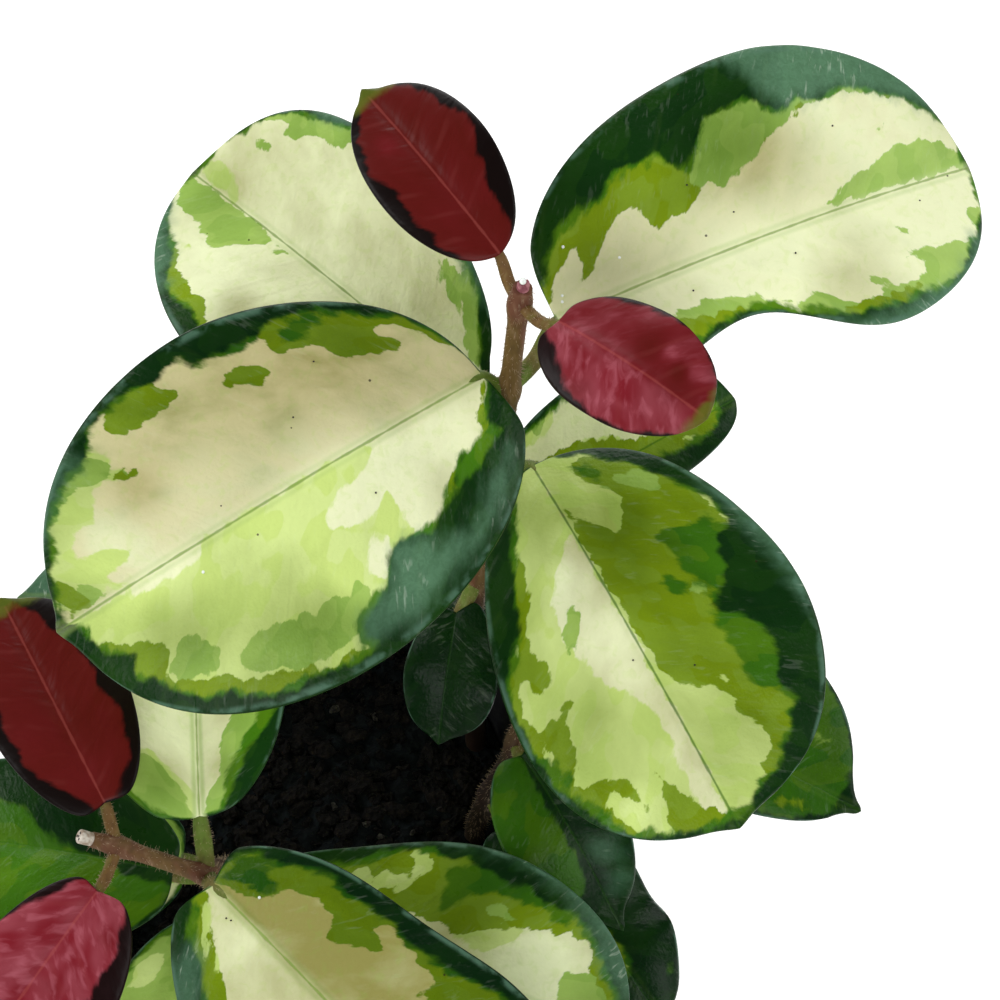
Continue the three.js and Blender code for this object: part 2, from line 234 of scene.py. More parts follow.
def ramp(tree, value, low, high, start=0.0, end=1.0):
    """A number turned smoothly from start at low to end at high"""
    inputs = {"Value": value, "From Min": low, "From Max": high, "To Min": start, "To Max": end}
    return add(tree, "ShaderNodeMapRange", inputs, interpolation_type="SMOOTHSTEP").outputs[0]


def own_place(tree):
    """The place on the object itself, in metres"""
    return add(tree, "ShaderNodeTexCoord").outputs["Object"]


def stretched(tree, place, scale):
    """A place with each axis scaled, which draws a texture out along the small ones"""
    return add(tree, "ShaderNodeMapping", {"Vector": place, "Scale": scale}).outputs[0]


def texture(tree, coords, scale, detail=2.0, distortion=0.0):
    """Cloudy noise between 0 and 1"""
    inputs = {"Vector": coords, "Scale": scale, "Detail": detail, "Distortion": distortion}
    return add(tree, "ShaderNodeTexNoise", inputs).outputs["Fac"]


def finish(name, roughness=0.5, **sockets):
    """A new material with its plain numbers set on the shader"""
    made = bpy.data.materials.new(name)
    made.use_nodes = True
    shader = made.node_tree.nodes["Principled BSDF"]
    shader.inputs["Roughness"].default_value = roughness
    for key, value in sockets.items():
        shader.inputs[key.replace("_", " ")].default_value = value
    return made, made.node_tree, shader


def raise_surface(tree, shader, height, depth, strength=1.0):
    """Relief from a height between 0 and 1, depth in metres"""
    inputs = {"Height": height, "Distance": depth, "Strength": strength}
    tree.links.new(add(tree, "ShaderNodeBump", inputs).outputs["Normal"], shader.inputs["Normal"])


def two_tones(tree, shader, share, first, second):
    """A base colour that drifts between two tones"""
    tree.links.new(blend(tree, share, first, second), shader.inputs["Base Color"])


TABLE_GLOW = {"Emission_Color": srgb(255, 255, 255), "Emission_Strength": 0.3}
pale, pale_tree, pale_shader = finish("pale_table", roughness=0.8, **TABLE_GLOW)
two_tones(pale_tree, pale_shader, texture(pale_tree, own_place(pale_tree), 3.0),
          srgb(248, 248, 248), srgb(251, 251, 250))
floor.data.materials.append(pale)

# %% [markdown]
# ## The vines' paths
#
# A vine is a smooth curve through its joints, where the leaf pairs grow. The fixed model uses a
# centripetal curve, which never loops or overshoots between points that stand close together. The
# same curve is worked out here, so that every finer piece lies on its solid.

# %% Vines: each one's foot in the soil, its joints from the lowest up, and its tip, in mm
VINES = {
    "a": [(39, 13, 77), (38, 12, 104), (40, 11, 135), (44, 12, 166), (45.5, 9, 187), (47, 6.5, 208),
          (47.4, 5.6, 212)],
    "b": [(-7, -20, 77), (-6.5, -29, 98), (-5, -40, 117), (-3.7, -50, 134), (-16.5, -51, 145),
          (-20, -51.5, 148)],
    "c": [(-12, 16, 77), (-13, 21, 98), (-15, 27, 120), (-16, 31, 138), (-16, 32, 141.5)],
    "d": [(39, -9, 77), (42, -13, 98), (47, -14, 118), (49, -12, 132), (49.6, -11.6, 135)],
}


def steps_along(path):
    """The length of each step of a path"""
    return np.linalg.norm(np.diff(path, axis=0), axis=1)


def smooth_path(points, count):
    """Points evenly spaced along the centripetal curve through the given ones"""
    p = np.array([tuple(q) for q in points], float)
    p = np.vstack([2 * p[0] - p[1], p, 2 * p[-1] - p[-2]])
    walked = []
    for a, b, c, d in zip(p, p[1:], p[2:], p[3:]):
        t0 = 0.0
        t1, t2, t3 = np.cumsum([np.linalg.norm(w - v) ** 0.5 for v, w in ((a, b), (b, c), (c, d))])
        for t in np.linspace(t1, t2, 24, endpoint=False):
            ab = a + (b - a) * (t - t0) / (t1 - t0)
            bc = b + (c - b) * (t - t1) / (t2 - t1)
            cd = c + (d - c) * (t - t2) / (t3 - t2)
            abc = ab + (bc - ab) * (t - t0) / (t2 - t0)
            bcd = bc + (cd - bc) * (t - t1) / (t3 - t1)
            walked.append(abc + (bcd - abc) * (t - t1) / (t2 - t1))
    walked = np.array(walked + [p[-2]])
    far = np.concatenate([[0], np.cumsum(steps_along(walked))])
    return np.stack([np.interp(np.linspace(0, far[-1], count), far, walked[:, k]) for k in range(3)], 1)


print("vine a is", round(float(steps_along(smooth_path(VINES["a"], 90)).sum())), "mm")

# %% [markdown]
# ## Round limbs
#
# Stems and petioles are round and taper. A curve with a radius at each point gives exactly that, and
# is turned into a mesh at once, so that it can be joined to a leaf or given its own marks.


# %% A limb along a path
def limb_mesh(name, path, radii, fineness=3):
    """A closed round mesh along a path in mm, with a radius in mm at each point"""
    curve = bpy.data.curves.new(name, "CURVE")
    curve.dimensions = "3D"
    curve.bevel_depth = MM
    curve.bevel_resolution = fineness
    curve.use_fill_caps = True
    spline = curve.splines.new("POLY")
    spline.points.add(len(path) - 1)
    for point, place, radius in zip(spline.points, path, radii):
        point.co = (*(Vector(place) * MM), 1)
        point.radius = float(radius)
    holder = shown(name, curve)
    made = bpy.data.meshes.new_from_object(holder.evaluated_get(bpy.context.evaluated_depsgraph_get()))
    bpy.data.objects.remove(holder)
    bpy.data.curves.remove(curve)
    return made


def triangles(names):
    """How many triangles some objects have between them"""
    return sum(len(face.vertices) - 2 for name in names for face in bpy.data.objects[name].data.polygons)


def piece(name, mesh, slot, *nodes):
    """A finished piece of the plant, standing for the solids that it replaces"""
    made = shown(name, mesh)
    for face in mesh.polygons:
        face.use_smooth = True
    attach(made, "root")
    if nodes:
        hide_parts(*nodes)
    return made


# %% [markdown]
# ## The leaves' shapes
#
# A wax plant's leaf is a thick, almost round blade with a blunt base, a small sharp tip and margins
# that roll down a little. Each leaf is one formula with its own numbers: length, a width for each
# half, and how it arches, folds and waves. Heading, pitch and roll then turn it into place. The
# numbers are the fixed model's, so the finer blade lies in the solid one. Two things differ:
# leaf_a2_back, leaf_a3_right and young_leaf_a_right end more bluntly here, as in the photograph, and
# leaf_a3_front is wider on its left.

# %% Leaf numbers, in mm and degrees
PLAIN_BLADE = {
    "round": (0.86, 0.86), "skew": (-0.04, -0.04), "arch": 4, "fold": (0.1, 0.1), "curl": 2, "wave": 0.8,
    "waves": 2, "notch": (0, 0), "notch_at": 0.5, "lobe": (2, 2), "tip": 1.5,
}
YOUNG_BLADE = {"arch": 2, "curl": 1, "wave": 0.3}
SMALL_BLADE = {"arch": 1.5, "curl": 0.8, "wave": 0.3}


def leaf(vine, joint, base, heading, pitch, roll, length, left, right, **form):
    """One leaf's numbers: where it grows, where its blade starts and points, and its size"""
    return {"vine": vine, "joint": joint, "base": base, "heading": heading, "pitch": pitch, "roll": roll,
            "length": length, "left": left, "right": right, "form": {**PLAIN_BLADE, **form}}


LEAVES = {
    "leaf_a1_left": leaf("a", 4, (41, 8, 190), -147, -9, -30, 75, 30, 29,
                         lobe=(3.5, 0), round=(0.86, 0.98), arch=5, fold=(0.06, 0.06)),
    "leaf_a1_right": leaf("a", 4, (53.5, 13, 198), 24, 4, 30, 74.5, 30.5, 21.5, notch=(0, 0.48),
                          notch_at=0.38, round=(0.74, 0.74), skew=(-0.04, -0.1), curl=4, arch=6, tip=0),
    "leaf_a2_front": leaf("a", 3, (49.6, 8, 168), -62, -14, 14, 67.5, 27.5, 23,
                          skew=(-0.12, -0.28), lobe=(0, 0), arch=5),
    "leaf_a2_back": leaf("a", 3, (40.5, 19, 172), 139.5, 11, -21, 69, 26, 24.3,
                         round=(0.86, 0.7), skew=(-0.04, -0.3), lobe=(2, -3), arch=3, tip=0),
    "leaf_a3_right": leaf("a", 2, (46.5, 19, 140), 27, 13, 30, 47, 17, 8, arch=3, tip=0),
    "leaf_a3_front": leaf("a", 2, (36, 6, 129), -100, -38, 0, 22, 9.6, 8, lobe=(4, 2), arch=2, curl=1),
    "leaf_a4_right": leaf("a", 1, (47.5, 9, 113), -26.5, -5, 17, 66, 25, 11, tip=4),
    "leaf_a4_back": leaf("a", 1, (37, 22, 108), 86, -24, 6, 50, 19, 19, arch=5),
    "leaf_b1_back": leaf("b", 3, (-4.2, -44.7, 143.8), 96, 5, 0, 52, 19, 16,
                         lobe=(2, 1), fold=(0.35, 0.35), arch=3),
    "leaf_b1_front": leaf("b", 3, (-1, -56, 141), -43, -12, 12, 72, 22, 24,
                          lobe=(4, 3), skew=(-0.16, -0.16), notch=(0.1, 0), notch_at=0.4),
    "leaf_b2_right": leaf("b", 2, (3, -46, 118), -20, -6, 18, 65, 21.5, 24,
                          skew=(-0.12, -0.04), notch=(0.18, 0), notch_at=0.15),
    "leaf_b2_left": leaf("b", 2, (-12, -43, 122), 170, -3, -10, 52, 20, 15, fold=(0.25, 0.25)),
    "leaf_b3_front": leaf("b", 1, (-6.5, -41, 98), -102, -18, -5, 46, 17, 17),
    "leaf_b3_left": leaf("b", 1, (-14.5, -29, 102), 179, -4, -16, 44, 17, 15),
    "leaf_c1_back": leaf("c", 2, (-14, 36, 122), 80, -22, -5, 48, 19, 19, arch=5),
    "leaf_c1_front": leaf("c", 2, (-18, 20, 120), -112, -14, 0, 36, 14, 14),
    "leaf_c2_left": leaf("c", 1, (-21, 24, 99), 163, -4, -8, 34.3, 15, 15),
    "leaf_c2_right": leaf("c", 1, (-5, 25, 99), 34, -14, 12, 36, 14, 14),
    "leaf_d1_front": leaf("d", 2, (48, -19, 120), -57, -23, 5, 31, 9.5, 13, fold=(0.4, 0.4), tip=4),
    "leaf_d2_front": leaf("d", 1, (46, -21, 99), -54, -6, 0, 44, 13, 15, wave=2.5, waves=3),
    "young_leaf_a_back": leaf("a", 5, (43.8, 10.5, 214.6), 127, 13, -20, 34.8, 9.5, 10.6, round=(0.95, 0.95),
                              skew=(0.04, -0.1), lobe=(0, 0), **YOUNG_BLADE | {"fold": (0.12, 0.12)}),
    "young_leaf_a_right": leaf("a", 5, (53, -4, 213.9), -42, -2, 22, 26.3, 9.6, 9.6,
                               skew=(-0.04, 0.1), lobe=(1, 2), tip=0.3, **YOUNG_BLADE),
    "young_leaf_b_back": leaf("b", 4, (-18, -47, 152), 121, 12, -5, 38, 11, 12, **YOUNG_BLADE),
    "young_leaf_b_front": leaf("b", 4, (-18.5, -60, 146), -120, -8, -18, 34, 13.2, 10, **YOUNG_BLADE),
    "young_leaf_c_back": leaf("c", 3, (-11, 38, 143), 62, 15, 0, 26, 9, 9, **SMALL_BLADE),
    "young_leaf_c_front": leaf("c", 3, (-20, 26, 142), -125, 5, -8, 24, 8, 8, **SMALL_BLADE),
    "young_leaf_d_back": leaf("d", 3, (51, -5, 135), 62, -10, 0, 24, 8, 8, **SMALL_BLADE),
    "young_leaf_d_right": leaf("d", 3, (55, -16, 135), -38, 0, 8, 26, 9, 9, **SMALL_BLADE),
}
print("leaves:", len(LEAVES))


# %% The blade's middle surface, for arrays of places along it (s) and across it (t)
def by_side(pair, t):
    """The first value on the left half of a blade and the second on the right"""
    return np.array(pair, float)[(np.asarray(t) <= 0).astype(int)]


def blade_points(numbers, s, t):
    """Places in mm in the blade's own frame: x to the tip, y to the left, z up"""
    form = numbers["form"]
    turn = np.arccos(1 - 2 * s)
    wide = np.sin(turn) ** by_side(form["round"], t) * (1 + by_side(form["skew"], t) * np.cos(turn))
    drawn_in = 1 - by_side(form["notch"], t) * np.exp(-(((s - form["notch_at"]) / 0.2) ** 2))
    y = t * by_side((numbers["left"], numbers["right"]), t) * wide * drawn_in
    reach_back = by_side(form["lobe"], t) * np.abs(t) * (1 - s) ** 4 * np.minimum(1, np.sqrt(s / 0.0245))
    point = form["tip"] * np.maximum(0, (s - 0.93) / 0.07) ** 2 * (1 - np.abs(t))
    x = numbers["length"] * s - reach_back + point
    z = (
        form["arch"] * 4 * s * (1 - s)
        + by_side(form["fold"], t) * (np.hypot(y, 1) - 1)
        - form["curl"] * np.abs(t) ** 3 * wide
        + form["wave"] * np.sin(2 * np.pi * form["waves"] * s + np.where(t > 0, 0, 2)) * t * t * wide
    )
    return np.stack([x, y, z], -1)


def blade_frame(numbers):
    """What carries a blade in metres from its own frame to its place"""
    heading, pitch, roll = (math.radians(numbers[key]) for key in ("heading", "pitch", "roll"))
    turned = Matrix.Rotation(heading, 4, "Z") @ Matrix.Rotation(-pitch, 4, "Y")
    turned = turned @ Matrix.Rotation(roll, 4, "X")
    return Matrix.Translation(Vector(numbers["base"]) * MM) @ turned


# %% [markdown]
# ## The leaves' markings
#
# A variegated leaf is a patchwork of tissues: cream has no green at all, lime has one thin green
# layer, moss, olive and green have more and more of them, and the margin is dark green right through.
# A bluish painted sheen, a painted reflection, lies over parts of the dark margin and is stored like a
# tissue. Each patch is drawn as a closed outline, in percent of the leaf's length: along the midrib
# first, then out from it, with the left half positive. Patches are painted in order, like washes.
# Every point of a blade then stores how deep it lies inside each tissue, in mm, and the shader frays
# the edges between them.

# %% Tissues, palest first, and what every leaf's marks hold
# The last of them is no tissue but a bluish painted sheen, a painted reflection over the dark margin.
CREAM, LIME, MOSS, OLIVE, GREEN, DARK, PAINTED_SHEEN = "cream", "lime", "moss", "olive", "green", "dark", "bloom"
TISSUES = (LIME, MOSS, OLIVE, GREEN, DARK, PAINTED_SHEEN)
GREEN_FRINGE = 0.5  # how far in mm green shows past the edge of dark
UNDERLAP = 2.0  # how far in mm a patch runs on under a darker neighbour, so that no cream shows between
OUTSIDE = -9.0  # the depth of a point far outside a tissue
FAINTEST_PAINTED_SHEEN = -6
ALL_OVER = ((-20, -60), (-20, 60), (120, 60), (120, -60))


def marks(painted_light=(0.7, 0.7), warm=(0.1, 0.1), rib=0.5, lights=(), rim=(1.5, 1.5), patches=()):
    """A leaf's marks: each half's painted light and how tan each half is, how dark the midrib's line is,
    soft spots of painted light and shade (x, y, radius, change), the dark rim's width in percent, and the
    patches"""
    return {"painted_light": painted_light, "warm": warm, "rib": rib, "lights": lights, "rim": rim, "patches": patches}


# %% Marks of the two upper leaves
# In each leaf's marks, the brightness of each half and the lights are painted light and shade, and the
# bluish sheen patches are a painted reflection.
MARKINGS = {}
MARKINGS["leaf_a1_left"] = marks(
    painted_light=(0.74, 0.38), warm=(0.1, 0.45), rib=0.3, rim=(3, 1),
    lights=[(38, 8, 14, 0.9), (42, 22, 7, 0.8), (66, -8, 13, 0.35), (86, -10, 8, 0.45), (25, -17, 14, -0.25),
            (45, -24, 16, -0.2), (14, 8, 7, 0.35), (22, 15, 8, -0.2), (80, 1.5, 9, 0.5), (60, 28, 14, -0.45),
            (78, 13, 13, -0.25), (74, -15, 6, -0.4), (83, 9, 9, -0.35), (64, -22, 9, -0.15)],
    patches=[
        (LIME, (26, 0), (28, 2), (33, 4), (39, 6), (45, 8), (47, 10), (46, 12.5), (43, 13.5), (38, 14.5),
         (35, 12.5), (32, 12), (31, 15), (32, 18), (30, 21), (36, 23), (50, 38), (70, 36), (90, 22), (98, 6),
         (100, 0)),
        (CREAM, (69.5, 1), (71, 2.5), (76, 3), (82, 2.5), (86, 1.5), (87, 0.5), (80, 0.5)),
        (CREAM, (35.5, 19.5), (37.5, 16), (41, 19.5), (43, 21), (44.5, 23), (43, 25.5), (41, 26.5),
         (39.5, 24), (37, 21.5)),
        (MOSS, (48, 30), (52, 32.5), (58, 34), (63, 33), (68, 31.5), (73, 28), (75, 24), (72, 22), (68, 22),
         (64, 23.5), (60, 22.5), (58, 25), (54, 23.5), (50, 25.5), (47, 22.5), (45.5, 26), (47, 28.5)),
        (MOSS, (77.5, 20), (79, 17.5), (78, 15), (81, 14), (84, 15), (86, 17), (88, 18), (86, 22),
         (82, 23.5), (79, 22)),
        (OLIVE, (49, 39), (49, 36.5), (53, 37), (57, 34.5), (62, 35.5), (64, 33), (68, 31), (72, 30.5),
         (76, 27.5), (80, 25), (84, 23), (86.5, 21.5), (89, 19.5), (87, 17), (85, 14.5), (88, 12),
         (91, 10.5), (94, 8), (97, 7), (100, 12), (92, 25), (78, 36), (60, 41)),
        (DARK, (-2, 1), (0, 3), (3, 6), (6, 10), (10, 12), (13, 12), (15, 13.5), (18, 16.5), (22, 19),
         (25, 20.5), (28, 22.5), (31, 22), (36, 21.5), (38, 22), (40, 26), (43, 28.5), (48, 29.5),
         (51.5, 31), (52, 34), (50, 36.5), (55, 38.3), (59, 37.2), (62, 38), (64, 34.5), (69, 35.5),
         (73, 35.5), (77, 32), (80, 28.5), (84, 27.5), (88, 24), (91, 19), (94.5, 15.5), (92, 12), (96, 9.5),
         (99, 3), (108, 10), (95, 45), (-10, 45), (-10, 5)),
        (GREEN, (5, 9), (10, 12), (13, 12.3), (16, 14), (21, 17.5), (19, 19), (13, 17), (8, 14), (3, 12)),
        (OLIVE, (0, 1), (2, 4), (5, 9), (8, 9), (6, 6), (3, 4)),
        (OLIVE, (16, 14), (18, 16), (21, 18.5), (19, 18), (16.5, 16)),
        (PAINTED_SHEEN, (4, 16), (10, 20), (15, 23.5), (20, 26.5), (25, 27), (28, 26), (28.5, 23.5), (33, 21.5),
         (37, 22), (40, 26), (43, 28.5), (48, 29.5), (51.5, 31), (52, 34.5), (49, 35.5), (44, 36),
         (38, 35.5), (32, 33.5), (26, 31), (20, 29), (14, 26), (9, 22)),
        (OLIVE, (2, -8), (5, -10.5), (7, -15), (10, -18.5), (15, -20), (15, -18.3), (11.5, -16), (11.5, -14),
         (15, -14.8), (20, -16.5), (25, -19), (26.5, -22), (31, -24), (35, -25), (35.5, -28), (38, -31),
         (33, -33), (22, -33), (12, -26), (3, -17), (0, -9)),
        (GREEN, (24, -25.5), (29, -25.5), (33, -27), (32, -29.5), (27, -30), (23, -28.5)),
        (OLIVE, (38.5, -21), (42, -20.5), (45, -22.5), (48, -24.5), (48.5, -27), (45, -26.5), (41, -26),
         (39, -23.5)),
        (OLIVE, (55, -27.5), (59, -27.7), (61, -26.5), (65, -26.5), (70, -27), (73, -28.5), (74, -30.5),
         (72, -34), (68, -35), (64, -34), (61, -34), (60, -30), (57, -29.5)),
        (OLIVE, (71.5, -19.3), (74, -18.7), (77, -20), (75, -20.8)),
        (LIME, (84, -1), (97, -1), (100, -5), (98, -14), (93, -21), (87, -26), (79, -28), (77, -25),
         (76.5, -22), (81, -20.5), (83, -17.5), (86, -15), (90, -14.5), (92, -12.3), (91.5, -10), (87, -9),
         (83, -7), (79, -6), (83, -5), (88, -4.5), (90, -2.5)),
        (MOSS, (76, -22), (80, -21), (85, -22), (90, -20), (93, -18), (90, -24), (84, -27), (79, -27),
         (77, -24)),
        (MOSS, (90, -1), (96, -1), (96, -5), (93, -5), (91, -3)),
        (OLIVE, (94, -1), (98, -1), (99, -8), (97, -9), (95, -5)),
        (DARK, (10, -21), (16, -25.5), (20, -27.5), (23, -30.5), (28, -31.5), (34, -32.5), (38, -31),
         (43, -30.5), (48, -31.5), (52, -31.5), (53, -34.5), (56, -35), (60, -33), (65, -33.5), (69, -34),
         (73, -33.5), (76, -31), (79, -28.5), (81, -26), (86, -25), (90, -22), (94, -17), (97.5, -11),
         (99, -4), (108, -8), (100, -45), (-5, -45)),
        (PAINTED_SHEEN, (82, -26), (87, -25), (91, -22), (95, -17), (98, -16), (90, -28), (84, -32)),
    ],
)
MARKINGS["leaf_a1_right"] = marks(
    painted_light=(0.8, 0.97), warm=(0.25, 0.12), rib=0.2, rim=(1, 1),
    lights=[(12, 6, 16, -0.25), (80, 16, 14, 0.25), (45, 3, 14, 0.3), (40, -8, 12, 0.2),
            (60, -16, 12, -0.45), (28, -6, 8, -0.2), (90, -4, 12, 0.2), (48, 18, 14, -0.8),
            (72, 30, 10, 0.3)],
    patches=[
        (OLIVE, (-3, 3), (0, 5), (4, 10), (8, 12.5), (9, 9), (7.5, 5.5), (10, 6.5), (12, 9), (14, 12),
         (17, 15), (20, 16.5), (23, 16), (23.5, 12.5), (24, 9.5), (27, 9), (28.5, 11), (33, 11.5),
         (36, 13.5), (40, 15), (41, 13), (45, 14.5), (48, 16.5), (49.5, 15), (52, 16.5), (54, 19), (58, 20),
         (61, 21.5), (64, 23.5), (70, 24), (77, 24.5), (83, 23), (88, 20.3), (88, 30), (60, 38), (20, 35),
         (-5, 15)),
        (MOSS, (36, 20), (36, 13.7), (40, 15.2), (41, 13), (45, 14.5), (48, 16.5), (49.5, 15), (52, 16.5),
         (54, 19), (58, 20), (61, 21.5), (64, 23.5), (70, 24), (77, 24.5), (83, 23), (88, 20.3), (84, 26),
         (60, 30), (46, 31), (40, 26)),
        (GREEN, (8, 17), (13, 18), (17, 19.5), (21, 22), (24, 24), (21, 26), (10, 22)),
        (GREEN, (29, 22), (34, 24), (36, 19), (39, 21), (43, 26), (40, 28), (30, 27)),
        (DARK, (-6, 5), (0, 8.5), (3, 14), (6, 18), (10, 20.3), (15, 20.5), (19, 22), (22, 25), (27, 24.5),
         (32, 25), (34, 21), (36, 19.3), (38.5, 22), (41, 25), (44, 28.5), (48, 28.5), (52, 29.5),
         (56, 29.5), (58, 25.5), (61, 23.7), (65, 25.8), (70, 24.7), (76, 25.5), (81, 25.2), (84, 23.5),
         (88, 21), (92, 20.3), (94, 16), (97, 15), (100, 11), (112, 12), (90, 50), (-10, 50)),
        (PAINTED_SHEEN, (52, 45), (55, 37), (58, 32), (60, 27), (62, 24.7), (65, 25.8), (70, 24.7), (76, 25.5),
         (81, 25.2), (84, 23.5), (88, 21), (92, 20.3), (94, 16), (97, 15), (100, 11), (112, 12), (90, 50)),
        (MOSS, (62, 1.8), (66, 3.5), (70, 5), (73, 6.5), (78, 7), (82, 9), (86, 9.8), (90, 9.5), (95, 7),
         (98.5, 5), (99.5, 0.8), (90, 0.8), (80, 1), (70, 1.5)),
        (MOSS, (78, 14.5), (81, 16), (83, 16), (82, 13.5), (80, 13.5)),
        (MOSS, (20, -9), (27, -9), (30, -8), (35, -8.5), (40, -11), (42, -12.5), (45, -14), (41, -15),
         (30, -16), (20, -18)),
        (OLIVE, (20, -11), (27, -10.5), (32, -11.5), (36, -12.5), (38, -14), (28, -17), (18, -18)),
        (MOSS, (48, -15.5), (52, -15), (56, -17.5), (60, -20), (66, -20.5), (71, -20.5), (79, -18.5),
         (79.5, -16.5), (75, -15.5), (73, -13.5), (77, -14), (82, -15), (88, -15.5), (93, -16), (96, -20),
         (80, -28), (60, -26), (48, -19)),
        (OLIVE, (55, -18.5), (60, -20.8), (66, -21), (73, -20.8), (76, -22), (72, -26), (60, -25)),
        (MOSS, (62, -15.5), (66, -16.5), (69, -18.5), (66, -18), (63, -16.8)),
        (MOSS, (74, -8), (78, -9), (80, -10), (77, -10)),
        (MOSS, (93, -10), (96, -9), (100, -8), (102, -14), (97, -17), (95, -13)),
        (DARK, (18, -17), (24, -15.5), (32, -13.3), (38, -13), (43, -14.5), (48, -17.3), (54, -20.5),
         (60, -23), (64, -22.5), (69, -24), (73, -24), (76, -22.8), (80, -23.5), (86, -22.5), (90, -20),
         (92, -17.3), (95, -14.5), (99, -10), (112, -20), (80, -40), (40, -30), (20, -28)),
        (PAINTED_SHEEN, (54, -21.5), (60, -23.5), (68, -24.5), (74, -24), (80, -24), (87, -22), (91, -18.5),
         (94, -15), (104, -20), (80, -36), (55, -30)),
    ],
)

# %% Marks of the second pair
MARKINGS["leaf_a2_front"] = marks(
    painted_light=(0.5, 0.62), warm=(0.0, 0.0), rib=0.95, rim=(1, 1.5),
    lights=[(45, -5, 18, 0.3), (12, -4, 12, -0.35), (62, -20, 10, -0.2), (82, 6, 12, -0.25),
            (88, -21, 5, 0.3), (34, 9, 14, -0.5), (58, 12, 12, -0.15), (80, -2, 14, 0.1), (32, -9, 6, 0.3),
            (76, -26, 8, -0.3), (68, -12, 14, -0.2), (12, 4, 8, -0.08), (20, 14, 9, -0.22)],
    patches=[
        (LIME, (-5, 0), (105, 0), (105, 50), (-5, 50)),
        (LIME, (-5, -6), (20, -12), (40, -15), (60, -13), (70, -6), (105, -6), (105, -50), (-5, -50)),
        (LIME, (0, 0), (20, 0), (24, -4), (30, -8), (36, -13), (44, -16), (52, -17), (58, -14), (64, -8),
         (70, -5), (80, -4), (84, -8), (76, -11), (73, -20), (70, -27), (50, -32), (20, -20), (0, -6)),
        (LIME, (64, 1), (68, 4), (71, 8), (73, 11), (77, 12), (81, 11.5), (83, 14), (85, 16), (89, 16.5),
         (92, 15.5), (92, 13), (95, 10), (97, 6), (98, 0)),
        (LIME, (0, 0), (20, 1), (23, 5), (27, 9), (28, 12), (25, 12.5), (22, 13.5), (18, 14), (14, 12.5),
         (9, 9), (4, 6)),
        (OLIVE, (16, 1), (20, 3), (24, 6), (28, 9), (28, 12), (25, 12.5), (22, 13.5), (18, 14), (14, 12.5),
         (10, 9), (6, 8), (4, 12), (20, 30), (60, 36), (92, 26), (97, 12), (95, 10), (92, 13), (92, 15.5),
         (89, 16.5), (85, 16), (83, 14), (81, 11.5), (77, 12), (73, 11), (71, 8), (68, 4), (64, 1.5),
         (40, 1)),
        (GREEN, (34, 30), (34, 17), (38, 17.5), (44, 18), (48, 19.5), (52, 22), (54, 19), (58, 20),
         (60, 18.5), (66, 18.5), (73, 18), (77, 20), (79, 24), (74, 30), (40, 33)),
        (GREEN, (43, 13), (46, 15), (50, 17), (49, 14), (45, 12.5)),
        (LIME, (69, 13), (71, 14.7), (76, 15.5), (74, 13), (71.5, 11.5)),
        (MOSS, (47.5, 19), (49, 21), (53, 21), (53, 18.5), (50, 17)),
        (GREEN, (6, 8), (10, 8.5), (13, 12), (11, 14), (7, 12)),
        (DARK, (-3, 3), (1, 7), (4, 12), (8, 16), (12, 21), (18, 24), (23, 28), (28, 30.5), (33, 33.5),
         (39, 34.5), (40.5, 30), (44, 28.3), (49, 27), (52, 25), (54, 21.5), (56.5, 19.3), (59, 22),
         (62, 25), (65, 27), (70, 27.8), (74, 26.5), (78, 24.5), (83, 26), (86, 23.5), (90, 21), (91, 19),
         (94, 15.5), (95.5, 12), (97, 8), (100, 3), (112, 10), (90, 50), (-10, 50)),
        (PAINTED_SHEEN, (26, 33), (34, 35.5), (42, 37), (52, 38.5), (60, 39.3), (66, 39), (60, 46), (30, 46)),
        (MOSS, (13, 15.5), (15, 20), (17.5, 23.5), (22, 24), (22.5, 21.5), (18.5, 18), (15, 15.5)),
        (MOSS, (40, -8.5), (43, -9.5), (46, -11.5), (50, -14), (51, -15.5), (47, -15), (43, -12.5),
         (40, -11)),
        (OLIVE, (21, -13.3), (26, -14.5), (31, -17), (37, -19.5), (40, -22), (44, -22.5), (50, -21.5),
         (54, -24), (55, -26.5), (51, -27.8), (54, -30), (57, -32.8), (61, -32), (62.3, -29), (61, -26),
         (59.5, -23), (59.5, -19.5), (61.5, -20.5), (63, -24.5), (70, -25), (74.5, -25.5), (75, -28.5),
         (78, -30), (79, -27), (78.5, -22), (81, -19), (83, -17.5), (88, -16.5), (91.5, -15.5), (90.5, -18),
         (86, -19), (82, -21.5), (84, -25), (88, -25), (92, -21), (96, -17), (95, -30), (60, -40),
         (30, -30)),
        (OLIVE, (83, -11.5), (86, -9.5), (90, -9), (92, -7), (95, -5.5), (94.5, -2.5), (100, -1), (101, -8),
         (97, -14), (94, -14), (93, -12), (88, -12)),
        (LIME, (42, -26), (46, -28), (48, -30), (45, -29.5), (42, -27.5)),
        (LIME, (66, -30), (69, -29.5), (71, -31.5), (69, -32.5), (66.5, -31.5)),
        (GREEN, (70, -29), (74, -28.5), (78, -30.5), (84, -26), (90, -25), (80, -34), (70, -34)),
        (DARK, (2, -6), (8, -9.5), (14, -12), (18, -14.5), (22, -17), (28, -19), (33, -20.5), (38, -23),
         (43, -27), (48, -31), (52, -34), (60, -34.7), (66, -34), (72, -33.5), (78, -31.3), (84, -29),
         (90, -26), (94, -21), (97, -15), (99.5, -8), (110, -20), (80, -50), (20, -40)),
    ],
)
